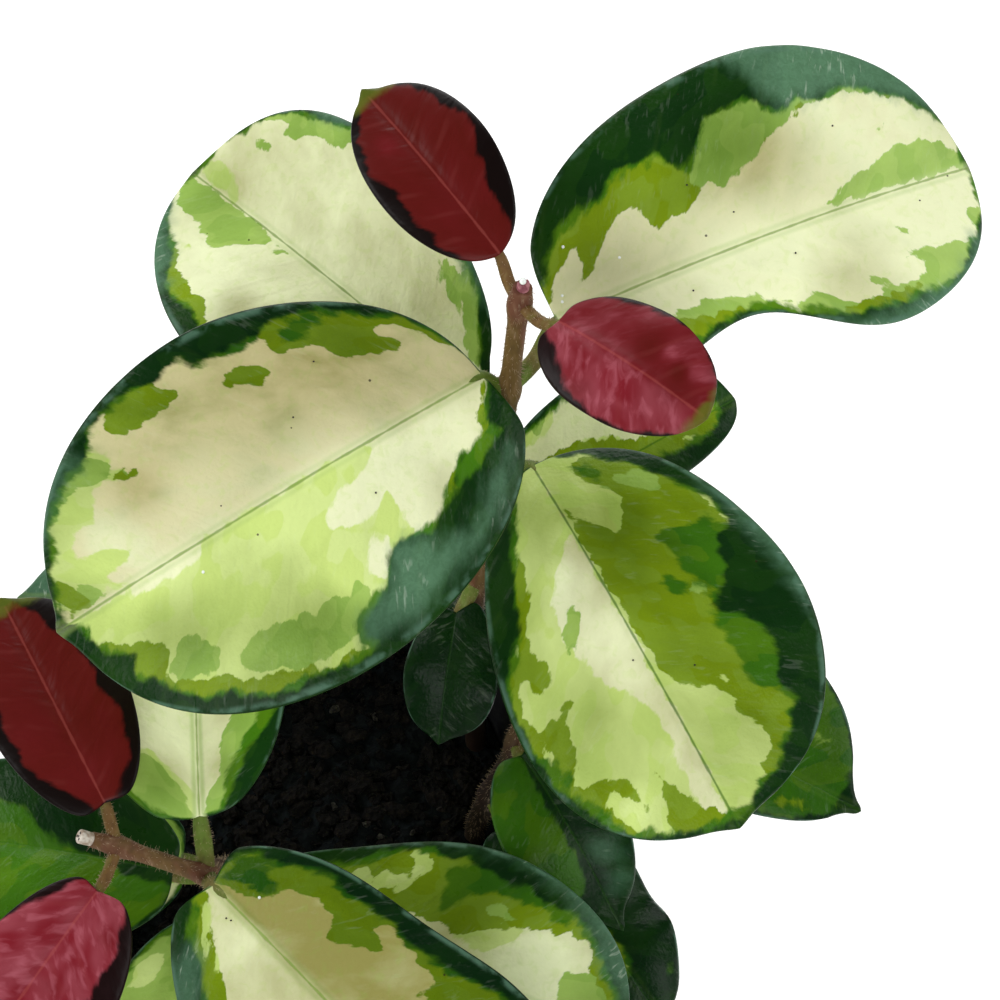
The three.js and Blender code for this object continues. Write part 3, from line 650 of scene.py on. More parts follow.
MARKINGS["leaf_a2_back"] = marks(
    painted_light=(0.8, 0.72), warm=(0.05, 0.0), rib=0.4, rim=(1, 1),
    lights=[(70, 18, 12, 0.2), (63, 20, 6, -0.5), (92, -2, 8, -0.35), (50, -14, 14, -0.15),
            (86, -14, 12, -0.2), (25, -11, 10, -0.3), (72, 26, 5, 0.3)],
    patches=[
        (LIME, (84, -1), (98, -1), (100, -5), (95, -7.5), (90, -5), (86, -3)),
        (MOSS, (62, 2), (68, 4), (73, 6.5), (75, 8), (77, 11.3), (80, 12.5), (83, 12), (86, 12), (87, 10),
         (92, 9.7), (97, 9), (99, 6), (100, 0.8), (88, 0.8), (76, 1)),
        (LIME, (83.5, 16.5), (85.5, 17.5), (87, 15.5), (85, 14.8)),
        (MOSS, (86.5, -17), (89, -15.8), (92, -16.5), (91, -18.5), (88, -19)),
        (MOSS, (72, -33), (73.5, -27), (79, -27), (84, -23), (88, -22.5), (88, -26), (94, -23), (97, -22),
         (92, -32), (76, -36)),
        (MOSS, (6, -6), (10, -7), (13, -9), (17, -14), (22, -18.5), (26, -22), (24, -25), (14, -20),
         (5, -10)),
        (MOSS, (17, -12.5), (20, -14.5), (25, -14.7), (29, -18), (33, -21.5), (30, -23), (26, -22),
         (22, -19.5)),
        (DARK, (3, -6), (7, -9), (11, -14), (15, -17.5), (20, -22), (25, -24), (29, -26), (34, -31),
         (10, -34), (0, -14)),
        (PAINTED_SHEEN, (17, -20), (21, -22.5), (25, -24), (29, -26), (26, -32), (16, -26)),
        (DARK, (76, -35), (80, -33), (84, -31.3), (90, -30), (94, -26.5), (97, -20.5), (99, -14), (112, -20),
         (90, -46), (76, -42)),
        (PAINTED_SHEEN, (77, -35), (81, -32.8), (86, -32), (86, -40), (77, -40)),
        (OLIVE, (66, 28), (70, 25.3), (74, 25), (78, 24), (82, 23.5), (85, 21), (88, 18), (91, 18), (86, 28),
         (70, 36), (60, 38)),
        (DARK, (55, 34), (62, 33), (67, 31), (70, 29.3), (74, 28.5), (78, 30), (81, 29), (84, 25.5),
         (88, 19.5), (92, 17.5), (96, 13.5), (100, 7), (112, 12), (90, 46), (55, 46)),
        (PAINTED_SHEEN, (82, 27.5), (85, 24.5), (88, 19.5), (92, 17.5), (96, 13.5), (99, 9), (106, 14), (92, 34)),
    ],
)

# %% Marks of vine b's leaves
MARKINGS["leaf_b1_front"] = marks(
    painted_light=(0.0, 0.42), warm=(0.0, 0.0), rib=0.2, rim=(1.5, 1.5),
    lights=[(15, -6, 8, 0.2)],
    patches=[
        (OLIVE, (-6, 0), (0, 1), (5, 3), (10, 5.5), (12.5, 8), (13, 11), (16, 12.5), (20, 13.5), (24, 12.5),
         (26, 10), (29, 10), (32, 12), (35, 13), (38, 15), (36, 16.5), (33, 18), (36, 20), (40, 20.5),
         (44, 19.5), (48, 19), (52, 18.5), (50, 16), (49, 13.5), (54, 15), (60, 17), (75, 16), (88, 12),
         (96, 6), (110, 20), (60, 45), (-10, 35)),
        (GREEN, (0, 2), (5, 4.5), (10, 6.5), (12, 9), (9, 10.5), (4, 10.5), (0, 9)),
        (DARK, (-6, 8), (0, 11.5), (5, 12), (9, 14), (13, 17), (18, 19.5), (24, 19), (29, 20), (34, 21.5),
         (40, 20.8), (45, 21.5), (50, 23), (55, 24.5), (60, 26), (68, 27.5), (80, 24), (92, 15), (99, 5),
         (112, 20), (70, 50), (-10, 45)),
        (OLIVE, (-2, -2), (3, -4), (8, -7.5), (14, -11.5), (19, -14), (26, -18), (45, -24), (65, -24),
         (82, -18), (95, -8), (105, -20), (60, -45), (-5, -25)),
        (DARK, (-4, -3), (1, -7), (4, -11), (7, -13), (12, -14), (15, -16.5), (20, -20), (30, -25),
         (45, -28), (62, -29), (76, -26), (88, -19), (97, -9), (110, -20), (60, -50), (-10, -30)),
        (PAINTED_SHEEN, (6, -13), (10, -12), (13, -14.5), (16, -18), (22, -22), (16, -30), (4, -22)),
        (LIME, (0, -1), (4, -4), (9, -9), (13, -12), (11, -12.5), (6, -9), (1, -5)),
    ],
)
MARKINGS["leaf_b2_right"] = marks(
    painted_light=(0.5, 0.7), warm=(0.0, 0.1), rib=0.2, rim=(1, 1.5),
    lights=[(74, 8, 11, 0.9), (36, 20, 8, 0.2), (60, 25, 12, -0.2), (50, 18, 14, -0.15)],
    patches=[
        (OLIVE, (-5, 2), (18, 9), (22, 16), (26, 15), (30, 10), (45, 10), (52, 9.5), (56, 11.5), (60, 12.5),
         (65, 16), (70, 16.5), (74, 18.5), (79, 20.5), (82, 19), (86, 19), (87.5, 14), (86, 11), (82, 10),
         (82, 4), (84, -1), (110, 0), (90, 45), (-10, 35)),
        (LIME, (33, 24.8), (36, 26), (41, 25.5), (40, 22), (38, 20.5), (36, 17), (34, 13.5), (28.5, 13),
         (28, 17), (31, 18.5), (35, 20), (36, 22)),
        (LIME, (20, 12), (22, 16), (25, 17), (26, 13)),
        (LIME, (52, 9.5), (56, 11.5), (60, 12.5), (65, 16), (68, 14), (64, 10), (60, 7)),
        (GREEN, (46, 12), (52, 20), (56, 22), (62, 21.5), (68, 24), (74, 22), (78, 22), (74, 30), (52, 30),
         (44, 24)),
        (MOSS, (56, 19), (60, 20.5), (66, 19), (62, 16.5), (57, 17)),
        (MOSS, (81.5, 10), (85, 11), (88, 12), (93, 9), (97, 3), (84, 0), (82, 4)),
        (DARK, (-6, 4), (8, 12), (14, 15), (20, 16), (24, 19), (27, 23), (33, 26.5), (37, 28), (43, 26.5),
         (48, 28.7), (52, 28), (55, 26.5), (60, 25.3), (66, 26.5), (71, 24), (78, 25.5), (83, 23),
         (86, 19.5), (89, 17), (92, 13.5), (96, 10), (101, 2), (114, 10), (90, 50), (-10, 45)),
        (PAINTED_SHEEN, (36, 31.5), (42, 32.5), (50, 32.8), (60, 32.7), (66, 31.5), (72, 29.5), (80, 26.5),
         (84, 22.5), (88, 18), (92, 14), (96, 10), (104, 12), (88, 36), (40, 40)),
        (OLIVE, (10, -14), (30, -20), (55, -24), (80, -18), (96, -6), (110, -30), (50, -50), (0, -30)),
        (DARK, (0, -14), (20, -26), (45, -31), (70, -29), (90, -17), (100, -4), (115, -30), (50, -60),
         (-10, -30)),
    ],
)
MARKINGS["leaf_b1_back"] = marks(
    painted_light=(0.9, 0.9), warm=(0.05, 0.05), rib=-0.8, rim=(1, 1.5),
    lights=[(10, 12, 9, -0.6), (30, -13, 9, -0.5), (12, -9, 7, -0.5), (50, -15, 10, -0.3)],
    patches=[
        (LIME, (-2, 0), (4, 0.5), (9, 3), (13, 8), (19, 14), (19, 18), (14, 24), (-4, 20)),
        (MOSS, (-3, 1), (2, 3), (5, 4), (8, 6), (11, 9), (15, 12), (18, 15), (16, 18), (10, 21), (3, 19),
         (-1, 12)),
        (MOSS, (-3, -1), (3, -2), (7, -4), (12, -7), (16, -8), (21, -8), (26, -10), (30, -11.5), (33, -15),
         (45, -16), (70, -15), (90, -10), (104, -16), (60, -40), (-5, -20)),
        (GREEN, (0, -7), (6, -9), (12, -11), (19, -13), (26, -18), (34, -23), (20, -28), (0, -14)),
        (DARK, (-4, -6), (3, -9), (8, -12.5), (14, -15), (20, -19), (26, -23), (34, -26), (50, -27),
         (75, -23), (94, -11), (110, -20), (60, -45), (-5, -25)),
    ],
)
MARKINGS["leaf_b2_left"] = marks(
    painted_light=(0.5, 0.35), rib=1.25, rim=(2, 2),
    lights=[(46, 8, 12, 0.4), (12, 15, 8, 0.2)],
    patches=[
        (GREEN, (-5, -30), (-5, 35), (50, 50), (110, 30), (110, -30), (50, -40)),
        (GREEN, (-5, 12), (6, 11), (12, 10), (18, 4), (26, 3), (34, 4), (40, -1), (48, -6), (58, -8),
         (70, -6), (90, 0), (110, -10), (50, -40), (-10, -30)),
        (DARK, (-5, 6), (6, 5), (14, 4), (20, 0), (28, -1), (36, -3), (44, -7), (52, -12), (60, -14),
         (80, -12), (110, -8), (50, -40), (-10, -30)),
    ],
)
MARKINGS["leaf_b3_front"] = marks(
    painted_light=(0.6, 0.55), rib=0.3, rim=(1.5, 1.5), lights=[(25, -20, 8, 0.3)],
    patches=[
        (MOSS, (-5, -30), (-5, 30), (50, 50), (110, 20), (110, -30), (50, -45)),
        (LIME, (12, -18), (20, -26), (30, -28), (30, -22), (20, -16)),
        (GREEN, (2, -12), (8, -16), (6, -22), (0, -18)),
        (LIME, (35, 10), (60, 16), (80, 8), (60, 2), (40, 3)),
    ],
)
MARKINGS["leaf_b3_left"] = marks(
    painted_light=(0.6, 0.5), rib=0.3, rim=(1.5, 1.5),
    patches=[
        (MOSS, (-5, -30), (-5, 12), (30, 8), (60, 10), (110, 4), (110, -30), (50, -45)),
        (PAINTED_SHEEN, (10, 24), (18, 30), (30, 38), (20, 20), (12, 18)),
        (GREEN, (0, 18), (6, 22), (10, 30), (-10, 30)),
    ],
)

# %% Marks of the leaves below, of which little shows
MARKINGS["leaf_a3_right"] = marks(
    painted_light=(0.9, 0.5), rib=0.9, rim=(2.5, 1),
    lights=[(25, 20, 8, -0.1), (36, 20, 6, 0.2)],
    patches=[
        (LIME, (20, 22), (34, 26), (34, 34), (18, 36)),
        (MOSS, (24, 24), (28, 29), (31, 30), (32, 34), (22, 34)),
        (OLIVE, (15, 15.5), (22, 16), (30, 15.2), (38, 14.7), (43, 14), (48, 10.5), (55, 5), (65, 3),
         (75, 6), (86, 10), (100, 12), (110, -10), (60, -40), (0, -30), (0, 10)),
        (LIME, (40, 14), (44, 13), (48, 9), (44, 10)),
        (LIME, (72, -3.5), (76, -4), (78, -6), (74, -5.5)),
        (DARK, (62, -4), (66, -6.5), (70, -7.5), (76, -7), (84, -8), (90, -6), (93, -1), (92, 5), (94, 14),
         (120, 20), (110, -30), (60, -20)),
    ],
)
MARKINGS["leaf_a3_front"] = marks(
    painted_light=(0.0, 0.0), rib=1.25, patches=[(DARK, *ALL_OVER)])
MARKINGS["leaf_a4_back"] = marks(
    painted_light=(0.0, 0.0), rib=1.25, patches=[(DARK, *ALL_OVER)])
MARKINGS["leaf_a4_right"] = marks(
    painted_light=(0.2, 0.2), rib=0.9,
    patches=[
        (GREEN, *ALL_OVER),
        (MOSS, (86, 14), (90, 14), (88, 12)), (OLIVE, (84, -9), (92, -7), (90, -5), (84, -6)),
    ],
)
MARKINGS["leaf_d1_front"] = marks(
    painted_light=(0.2, 0.3), rib=1.25, rim=(1.5, 0),
    patches=[
        (DARK, *ALL_OVER),
        (GREEN, (-4, -2), (16, -5), (40, -6), (66, -5), (84, -9), (84, -20), (70, -60), (10, -60),
         (-8, -20)),
        (PAINTED_SHEEN, (58, 8), (66, 18), (72, 20), (74, 10), (66, 5)),
        (PAINTED_SHEEN, (80, 14), (88, 16), (92, 4), (84, 6)),
    ],
)
MARKINGS["leaf_d2_front"] = marks(
    painted_light=(0.1, 0.1), rib=1.0,
    patches=[
        (DARK, *ALL_OVER),
        (OLIVE, (60, 2), (66, 5), (74, 4), (80, 1), (82, -4), (70, -3)),
        (LIME, (74, 2), (78, 3), (82, 0), (80, -2)), (MOSS, (84, 20), (88, 13), (90, 10), (88, 16)),
        (OLIVE, (10, -6), (30, -10), (50, -8), (40, -14), (20, -14)),
    ],
)
MARKINGS["leaf_c2_left"] = marks(
    painted_light=(0.4, 0.4), rib=0.4,
    patches=[
        (DARK, *ALL_OVER), (PAINTED_SHEEN, (70, -30), (110, -30), (110, 6), (80, 0)),
        (OLIVE, (20, -6), (50, -12), (60, -4), (40, 6), (20, 4)),
    ],
)
MARKINGS["young_leaf_a_back"] = marks(
    painted_light=(0.12, 0.1), rim=(1, 1), lights=[(70, 9, 5, 0.35), (30, -5, 14, 0.1)],
    patches=[
        (DARK, (-3, 4), (4, 11), (10, 15), (16, 18), (22, 18.3), (28, 20), (33, 21.5), (38, 20.5),
         (44, 19.3), (52, 19.5), (58, 22), (64, 23), (70, 21.5), (80, 17.5), (92, 9), (98, 5), (110, 30),
         (-10, 40)),
        (DARK, (-3, -5), (4, -8.5), (10, -11.5), (20, -14), (27, -15.5), (33, -18.5), (38, -20.3), (42, -20),
         (46, -24), (52, -26), (60, -26), (66, -25), (70, -23.5), (78, -22), (84, -20.5), (90, -17),
         (97, -12), (110, -30), (-10, -40)),
    ],
)
MARKINGS["young_leaf_a_right"] = marks(
    painted_light=(0.55, 0.85), rim=(1.2, 0.8),
    lights=[(55, 15, 10, -0.45), (66, 17, 5, 0.5), (84, 17, 6, 0.4), (75, 12, 5, -0.4), (10, 0, 8, 0.2),
            (38, -27, 7, -0.3), (80, 3, 12, -0.35), (50, -15, 10, 0.25)],
    patches=[
        (DARK, (-8, -6), (-2, -9), (4, -11.5), (9, -14), (14, -17.5), (19, -21.5), (24, -25.5), (31, -29.5),
         (40, -33), (50, -35), (70, -36), (70, -50), (-20, -40)),
        (DARK, (22, 27), (30, 30.5), (40, 33.5), (55, 35), (70, 34.5), (60, 45), (20, 40)),
    ],
)
MARKINGS["young_leaf_b_back"] = marks(
    painted_light=(0.14, 0.08), rim=(0.8, 1),
    lights=[(15, 0, 9, 0.15), (40, 14, 10, 0.1)],
    patches=[
        (DARK, (-4, -5), (2, -9), (8, -14.5), (13, -18.5), (20, -21), (28, -22.3), (34, -22), (40, -20),
         (48, -20.5), (55, -20), (70, -17), (82, -12), (92, -8), (100, -4), (110, -30), (-10, -40)),
        (DARK, (-4, 4), (6, 9), (14, 15.5), (22, 20), (30, 22.5), (38, 22), (44, 22.5), (52, 22), (66, 20),
         (80, 14), (95, 5), (110, 30), (-10, 40)),
    ],
)
MARKINGS["young_leaf_b_front"] = marks(
    painted_light=(1.0, 0.95), rim=(1, 1),
    lights=[(15, 16, 6, -0.35), (22, 12, 8, 0.2), (30, -16, 8, 0.5), (15, -4, 8, 0.1), (45, 8, 6, -0.3)],
    patches=[
        (DARK, (-6, 12), (2, 17), (7, 19.5), (12, 21.8), (16, 24.2), (22, 23.5), (30, 23.3), (36, 24.5),
         (45, 25), (60, 25), (80, 17), (95, 6), (115, 30), (-10, 50)),
        (DARK, (-4, -10), (8, -15), (18, -20), (28, -24.5), (36, -27), (60, -26), (80, -20), (96, -8),
         (110, -40), (-10, -40)),
    ],
)


BLOTS = 9
BLOT_CORNERS = 10
HALO = 1.25  # how much wider than a blot its lime surround is


def grown_markings(seed, young):
    """Marks for a leaf that the photograph doesn't show, from blots like its neighbours'"""
    pick = random.Random(seed)
    patches = []
    for _ in range(0 if young else BLOTS):
        tissue = pick.choice((LIME, MOSS, MOSS, OLIVE, OLIVE, GREEN))
        x, y = pick.uniform(10, 90), pick.choice((1, -1)) * pick.uniform(6, 32)
        wide, deep = pick.uniform(6, 20), pick.uniform(3, 9)
        turns = [2 * math.pi * k / BLOT_CORNERS for k in range(BLOT_CORNERS)]
        outline = [(x + wide * math.cos(a) * pick.uniform(0.7, 1.2) + 0.5 * abs(y),
                    y + deep * math.sin(a) * pick.uniform(0.7, 1.2)) for a in turns]
        patches.append((LIME, *((x + HALO * (a - x), y + HALO * (b - y)) for a, b in outline)))
        patches.append((tissue, *outline))
    # A painted light for the whole leaf, picked at random.
    painted_light = pick.uniform(0.1, 0.5) if young else pick.uniform(0.5, 0.9)
    return marks(painted_light=(painted_light, painted_light), rim=(pick.uniform(3, 9), pick.uniform(3, 9)), patches=patches)


print("marked leaves:", len(MARKINGS), "patches:", sum(len(m["patches"]) for m in MARKINGS.values()))


# %% How deep each point lies in each tissue
def inside_depth(outline, x, y):
    """Distance inside a closed outline, and below zero outside it"""
    nearest = np.full(x.shape, 1e9)
    crossings = np.zeros(x.shape, int)
    for (ax, ay), (bx, by) in zip(outline, outline[1:] + outline[:1]):
        wide, high = bx - ax, by - ay
        share = np.clip(((x - ax) * wide + (y - ay) * high) / (wide * wide + high * high), 0, 1)
        nearest = np.minimum(nearest, np.hypot(x - ax - share * wide, y - ay - share * high))
        if high:
            level = (ay > y) != (by > y)
            crossings += level & (x < ax + wide * (y - ay) / high)
    return np.where(crossings % 2 == 1, nearest, -nearest)


def tissue_depths(numbers, marks_here, s, t, places):
    """The depth in mm of each point in each tissue, and the painted light and shade there"""
    percent = numbers["length"] / 100
    x, y = places[..., 0] / percent, places[..., 1] / percent
    depths = {tissue: np.full(s.shape, OUTSIDE) for tissue in TISSUES}
    half = np.abs(blade_points(numbers, s, np.where(t > 0, 1.0, -1.0))[..., 1]) / percent
    to_margin = np.minimum(half * (1 - np.abs(t)), 101 - x)
    rim = by_side(marks_here["rim"], t) - to_margin
    for tissue, *outline in marks_here["patches"]:
        inside = inside_depth(outline, x, y)
        rank = TISSUES.index(tissue) if tissue in TISSUES else -1
        covered = np.max([depths[other] for other in TISSUES[rank + 1:-1]] or [inside * 0 + OUTSIDE], axis=0)
        for k, other in enumerate(TISSUES):
            if k == rank:
                hidden = np.minimum(inside + UNDERLAP / percent, covered)
                depths[other] = np.maximum(depths[other], np.maximum(inside, hidden))
            elif k > rank:
                depths[other] = np.minimum(depths[other], -inside)
    depths[DARK] = np.maximum(depths[DARK], rim)
    depths[GREEN] = np.maximum(depths[GREEN], depths[DARK] + GREEN_FRINGE / percent)
    # Painted light and shade: a brightness for each half, raised or lowered by the soft lights, which later
    # picks each tissue's shaded or lit tone.
    side = np.clip(0.5 + t * 6, 0, 1)
    painted_light = marks_here["painted_light"][0] * side + marks_here["painted_light"][1] * (1 - side)
    for lx, ly, radius, change in marks_here["lights"]:
        painted_light = painted_light + change * np.exp(-((x - lx) ** 2 + (y - ly) ** 2) / radius ** 2)
    warm = marks_here["warm"][0] * side + marks_here["warm"][1] * (1 - side)
    stored = {tissue: depth * percent for tissue, depth in depths.items()}
    stored[PAINTED_SHEEN] = np.maximum(stored[PAINTED_SHEEN], FAINTEST_PAINTED_SHEEN)
    return {**stored, "painted_light": np.clip(painted_light, 0, 1), "warm": warm, "rib": np.full(s.shape, marks_here["rib"])}


# %% [markdown]
# ## Building a blade
#
# A grid is bent onto the formula's middle surface, with its ends drawn together at base and tip. Two
# modifiers then finish it: Solidify gives it the flesh of a wax plant's leaf, thinner at the margin,
# and Subdivision rounds the rim. The grid keeps two maps: the flat leaf in decimetres, and the same
# leaf measured along its side veins, which the shader uses to draw everything out along the veins.

# %% Grid, thickness and petiole
LARGE_GRID = (60, 40)
SMALL_GRID = (32, 22)
LARGE_BLADE = 50  # the length in mm from which a blade gets the finer grid
GROOVE_DEPTH = 0.35
GROOVE_WIDTH = 1.3
PUCKER_DEPTH = 0.3
PUCKER_SIZE = (5, 12)  # along a side vein and out from the midrib
SWELL_SIZE = 16
SWELL_SHARE = 1.6  # how much higher a swell is than a pucker
BLADE_THICKNESS = 1.5
MARGIN_THICKNESS = 0.8
VEIN_SLANT = 0.6  # how far a side vein runs towards the tip for each step outwards
PETIOLE_RADIUS = 1.45
YOUNG_PETIOLE_RADIUS = 1.0  # thinner than in the fixed model
PETIOLE_END_RADIUS = 0.6
PETIOLE_PLACES = 22  # how many points a petiole's path has
PETIOLE_OUTSIDE = 16  # how many of them lie outside the blade
TOP, UNDERSIDE, PETIOLE = 0, 1, 2


def relief(numbers, index, places, t):
    """How far the skin rises in mm: a groove along the midrib and soft puckers that follow the veins"""
    x, y = places[..., 0], places[..., 1]
    rise = -GROOVE_DEPTH * np.exp(-((y / GROOVE_WIDTH) ** 2))
    for k, (px, py, pt) in enumerate(zip(x.tolist(), y.tolist(), t.tolist())):
        along = px - VEIN_SLANT * abs(py)
        pucker = noise.noise(Vector((along / PUCKER_SIZE[0], py / PUCKER_SIZE[1], 7.0 * index)))
        swell = noise.noise(Vector((px / SWELL_SIZE, py / SWELL_SIZE, 3.0 + 7.0 * index)))
        rise[k] += PUCKER_DEPTH * (pucker + SWELL_SHARE * swell) * min(1, abs(py) / 3)
    return rise * (1 if numbers["form"]["arch"] > YOUNG_BLADE["arch"] else 0.8)


def blade_sheet(name, numbers, marks_here, index):
    """The blade's middle surface as an object, with its maps and attributes"""
    bm = bmesh.new()
    rows, columns = LARGE_GRID if numbers["length"] > LARGE_BLADE else SMALL_GRID
    bmesh.ops.create_grid(bm, x_segments=rows, y_segments=columns, size=1.0)
    bm.verts.ensure_lookup_table()
    flat = np.array([v.co[:2] for v in bm.verts])
    s = (1 - np.cos(np.pi * (flat[:, 0] + 1) / 2)) / 2
    t = np.where((s < 1e-9) | (s > 1 - 1e-9), 0, flat[:, 1])
    places = blade_points(numbers, s, t)
    stored = {**tissue_depths(numbers, marks_here, s, t, places), "along": s, "edge": np.abs(t)}
    places[..., 2] += relief(numbers, index, places, t) * np.sin(np.pi * s)
    layers = {key: bm.verts.layers.float.new(key) for key in stored}
    for k, vert in enumerate(bm.verts):
        vert.co = Vector(places[k]) * MM
        for key, layer in layers.items():
            vert[layer] = float(stored[key][k])
    flat_map = bm.loops.layers.uv.new("blade")
    vein_map = bm.loops.layers.uv.new("veins")
    for face in bm.faces:
        for corner in face.loops:
            x, y, _ = places[corner.vert.index]
            corner[flat_map].uv = (x / 100 + index, y / 100)
            corner[vein_map].uv = ((x - VEIN_SLANT * abs(y)) / 100 + index, y / 100)
    bmesh.ops.remove_doubles(bm, verts=bm.verts, dist=1e-6)
    mesh = mesh_from(bm, name)
    sheet = shown(name, mesh)
    thick = sheet.vertex_groups.new(name="flesh")
    edge = np.zeros(len(mesh.vertices), np.float32)
    mesh.attributes["edge"].data.foreach_get("value", edge)
    for k, share in enumerate(edge):
        thick.add([k], float(1 - share ** 2), "REPLACE")
    return sheet


def finished_blade(sheet, slots):
    """The sheet with its thickness and rounded rim, as a plain mesh"""
    for slot in slots:
        sheet.data.materials.append(bpy.data.materials[slot])
    flesh = sheet.modifiers.new("flesh", "SOLIDIFY")
    flesh.thickness = BLADE_THICKNESS * MM
    flesh.offset = 0
    flesh.vertex_group = "flesh"
    flesh.thickness_vertex_group = MARGIN_THICKNESS / BLADE_THICKNESS
    flesh.material_offset = UNDERSIDE
    flesh.use_quality_normals = True
    rounding = sheet.modifiers.new("rounding", "SUBSURF")
    rounding.levels = rounding.render_levels = 1
    graph = bpy.context.evaluated_depsgraph_get()
    mesh = bpy.data.meshes.new_from_object(
        sheet.evaluated_get(graph), preserve_all_data_layers=True, depsgraph=graph)
    bpy.data.objects.remove(sheet)
    return mesh


def petiole_path(numbers):
    """The petiole's middle line, from the vine's middle to under the blade's midrib"""
    place = blade_frame(numbers)

    def in_blade(s, sink):
        point = blade_points(numbers, np.array(s), np.array(0.0))
        return place @ (Vector((point[0], point[1], point[2] - sink)) * MM) / MM

    joint = Vector(VINES[numbers["vine"]][numbers["joint"]])
    base, under = in_blade(0.0, 0.6), in_blade(0.12, 0.9)
    bend = joint + (base - joint) * 0.5 - Vector((0, 0, 0.12 * (base - joint).length))
    return smooth_path([joint, bend, base, under], PETIOLE_PLACES)


def petiole_radii(count, young=False):
    """The petiole's radius along its path; a young one is thinner"""
    share = np.clip((np.linspace(0, 1, count) - 0.4) / 0.6, 0, 1)
    eased = share * share * (3 - 2 * share)
    full = YOUNG_PETIOLE_RADIUS if young else PETIOLE_RADIUS
    return full + (PETIOLE_END_RADIUS - full) * eased


# %% [markdown]
# ## The tissue shader
#
# One node group reads a stored depth and frays its edge. Under a lens such an edge is a row of small
# rounded lobes, because each block of tissue grew from one cell. Two sets of Voronoi cells, large and
# small, give these lobes: the distance to a cell's middle is added to the depth before it is compared
# with zero. Every leaf shares the group; what differs between leaves is in their attributes.


# %% Fraying group: a depth in mm becomes a ragged, nearly sharp mask
def new_group(name, inputs, outputs):
    """An empty node group with named sockets"""
    group = bpy.data.node_groups.new(name, "ShaderNodeTree")
    for label, kind, value in inputs:
        socket = group.interface.new_socket(label, in_out="INPUT", socket_type=kind)
        if value is not None:
            socket.default_value = value
    for label, kind in outputs:
        group.interface.new_socket(label, in_out="OUTPUT", socket_type=kind)
    return group, group.nodes.new("NodeGroupInput"), group.nodes.new("NodeGroupOutput")


def attribute(tree, name):
    """A number stored on the mesh's points"""
    return add(tree, "ShaderNodeAttribute", attribute_name=name).outputs["Fac"]


FLOAT, COLOUR, VECTOR = "NodeSocketFloat", "NodeSocketColor", "NodeSocketVector"

fray, fray_in, fray_out = new_group(
    "frayed_edge",
    [("Depth", FLOAT, 0.0), ("Vein Place", VECTOR, None), ("Ragged", FLOAT, 1.0), ("Shift", FLOAT, 0.0),
     ("Softness", FLOAT, 0.12)],
    [("Mask", FLOAT)],
)
shifted = add(fray, "ShaderNodeVectorMath", {0: fray_in.outputs["Vein Place"]}, operation="ADD")
offset = add(fray, "ShaderNodeCombineXYZ", {"X": fray_in.outputs["Shift"], "Z": fray_in.outputs["Shift"]})
fray.links.new(offset.outputs[0], shifted.inputs[1])
drawn_out = stretched(fray, shifted.outputs[0], (1.0, 0.6, 1.0))


def lobes(scale, height):
    """Rounded lobes from Voronoi cells: highest in each cell's middle, in mm"""
    cells = add(fray, "ShaderNodeTexVoronoi", {"Vector": drawn_out, "Scale": scale}, voronoi_dimensions="2D")
    return times(fray, minus(fray, 0.45, cells.outputs["Distance"]), height)


grain = times(fray, minus(fray, texture(fray, drawn_out, 210.0, 2.0), 0.5), 1.2)
lobed = plus(fray, plus(fray, lobes(48.0, 1.9), lobes(19.0, 2.2)), grain)
moved = times(fray, lobed, fray_in.outputs["Ragged"])
depth = plus(fray, fray_in.outputs["Depth"], moved)
low = times(fray, fray_in.outputs["Softness"], -1.0)
mask = ramp(fray, depth, low, fray_in.outputs["Softness"])
fray.links.new(mask, fray_out.inputs["Mask"])


def frayed(tree, depth, veins, ragged, shift, softness=0.12):
    """A ragged mask from a stored depth"""
    inputs = {"Depth": depth, "Vein Place": veins, "Ragged": ragged, "Shift": shift, "Softness": softness}
    return add(tree, "ShaderNodeGroup", inputs, node_tree=fray).outputs["Mask"]


# %% Vein group: the midrib, its groove, and the side veins
rib, rib_in, rib_out = new_group(
    "leaf_veins",
    [("Spacing", FLOAT, 9.0)],
    [("Midrib", FLOAT), ("Groove", FLOAT), ("Side Veins", FLOAT),
     ("Flat Place", VECTOR), ("Vein Place", VECTOR)],
)
flat_uv = add(rib, "ShaderNodeUVMap", uv_map="blade").outputs[0]
vein_uv = add(rib, "ShaderNodeUVMap", uv_map="veins").outputs[0]
flat_parts = add(rib, "ShaderNodeSeparateXYZ", {0: flat_uv})
vein_parts = add(rib, "ShaderNodeSeparateXYZ", {0: vein_uv})
across_mm = times(rib, maths(rib, "ABSOLUTE", flat_parts.outputs[1]), 100.0)
tremble = times(rib, minus(rib, texture(rib, flat_uv, 30.0), 0.5), 0.5)
across_soft = maths(rib, "ABSOLUTE", plus(rib, across_mm, tremble))
rib.links.new(ramp(rib, across_soft, 0.06, 0.34, 1.0, 0.0), rib_out.inputs["Midrib"])
rib.links.new(ramp(rib, across_mm, 0.1, 1.6, 1.0, 0.0), rib_out.inputs["Groove"])
drift = times(rib, minus(rib, texture(rib, flat_uv, 9.0), 0.5), 3.0)
along_mm = plus(rib, times(rib, vein_parts.outputs[0], 100.0), drift)
phase = maths(rib, "FRACT", maths(rib, "DIVIDE", along_mm, rib_in.outputs["Spacing"]))
from_vein = times(rib, maths(rib, "ABSOLUTE", minus(rib, phase, 0.5)), rib_in.outputs["Spacing"])
faint = ramp(rib, texture(rib, flat_uv, 14.0, 2.0), 0.42, 0.66)
side_veins = times(rib, ramp(rib, from_vein, 0.1, 0.7, 1.0, 0.0), faint)
rib.links.new(side_veins, rib_out.inputs["Side Veins"])
rib.links.new(flat_uv, rib_out.inputs["Flat Place"])
rib.links.new(vein_uv, rib_out.inputs["Vein Place"])
print("groups:", [g.name for g in bpy.data.node_groups])
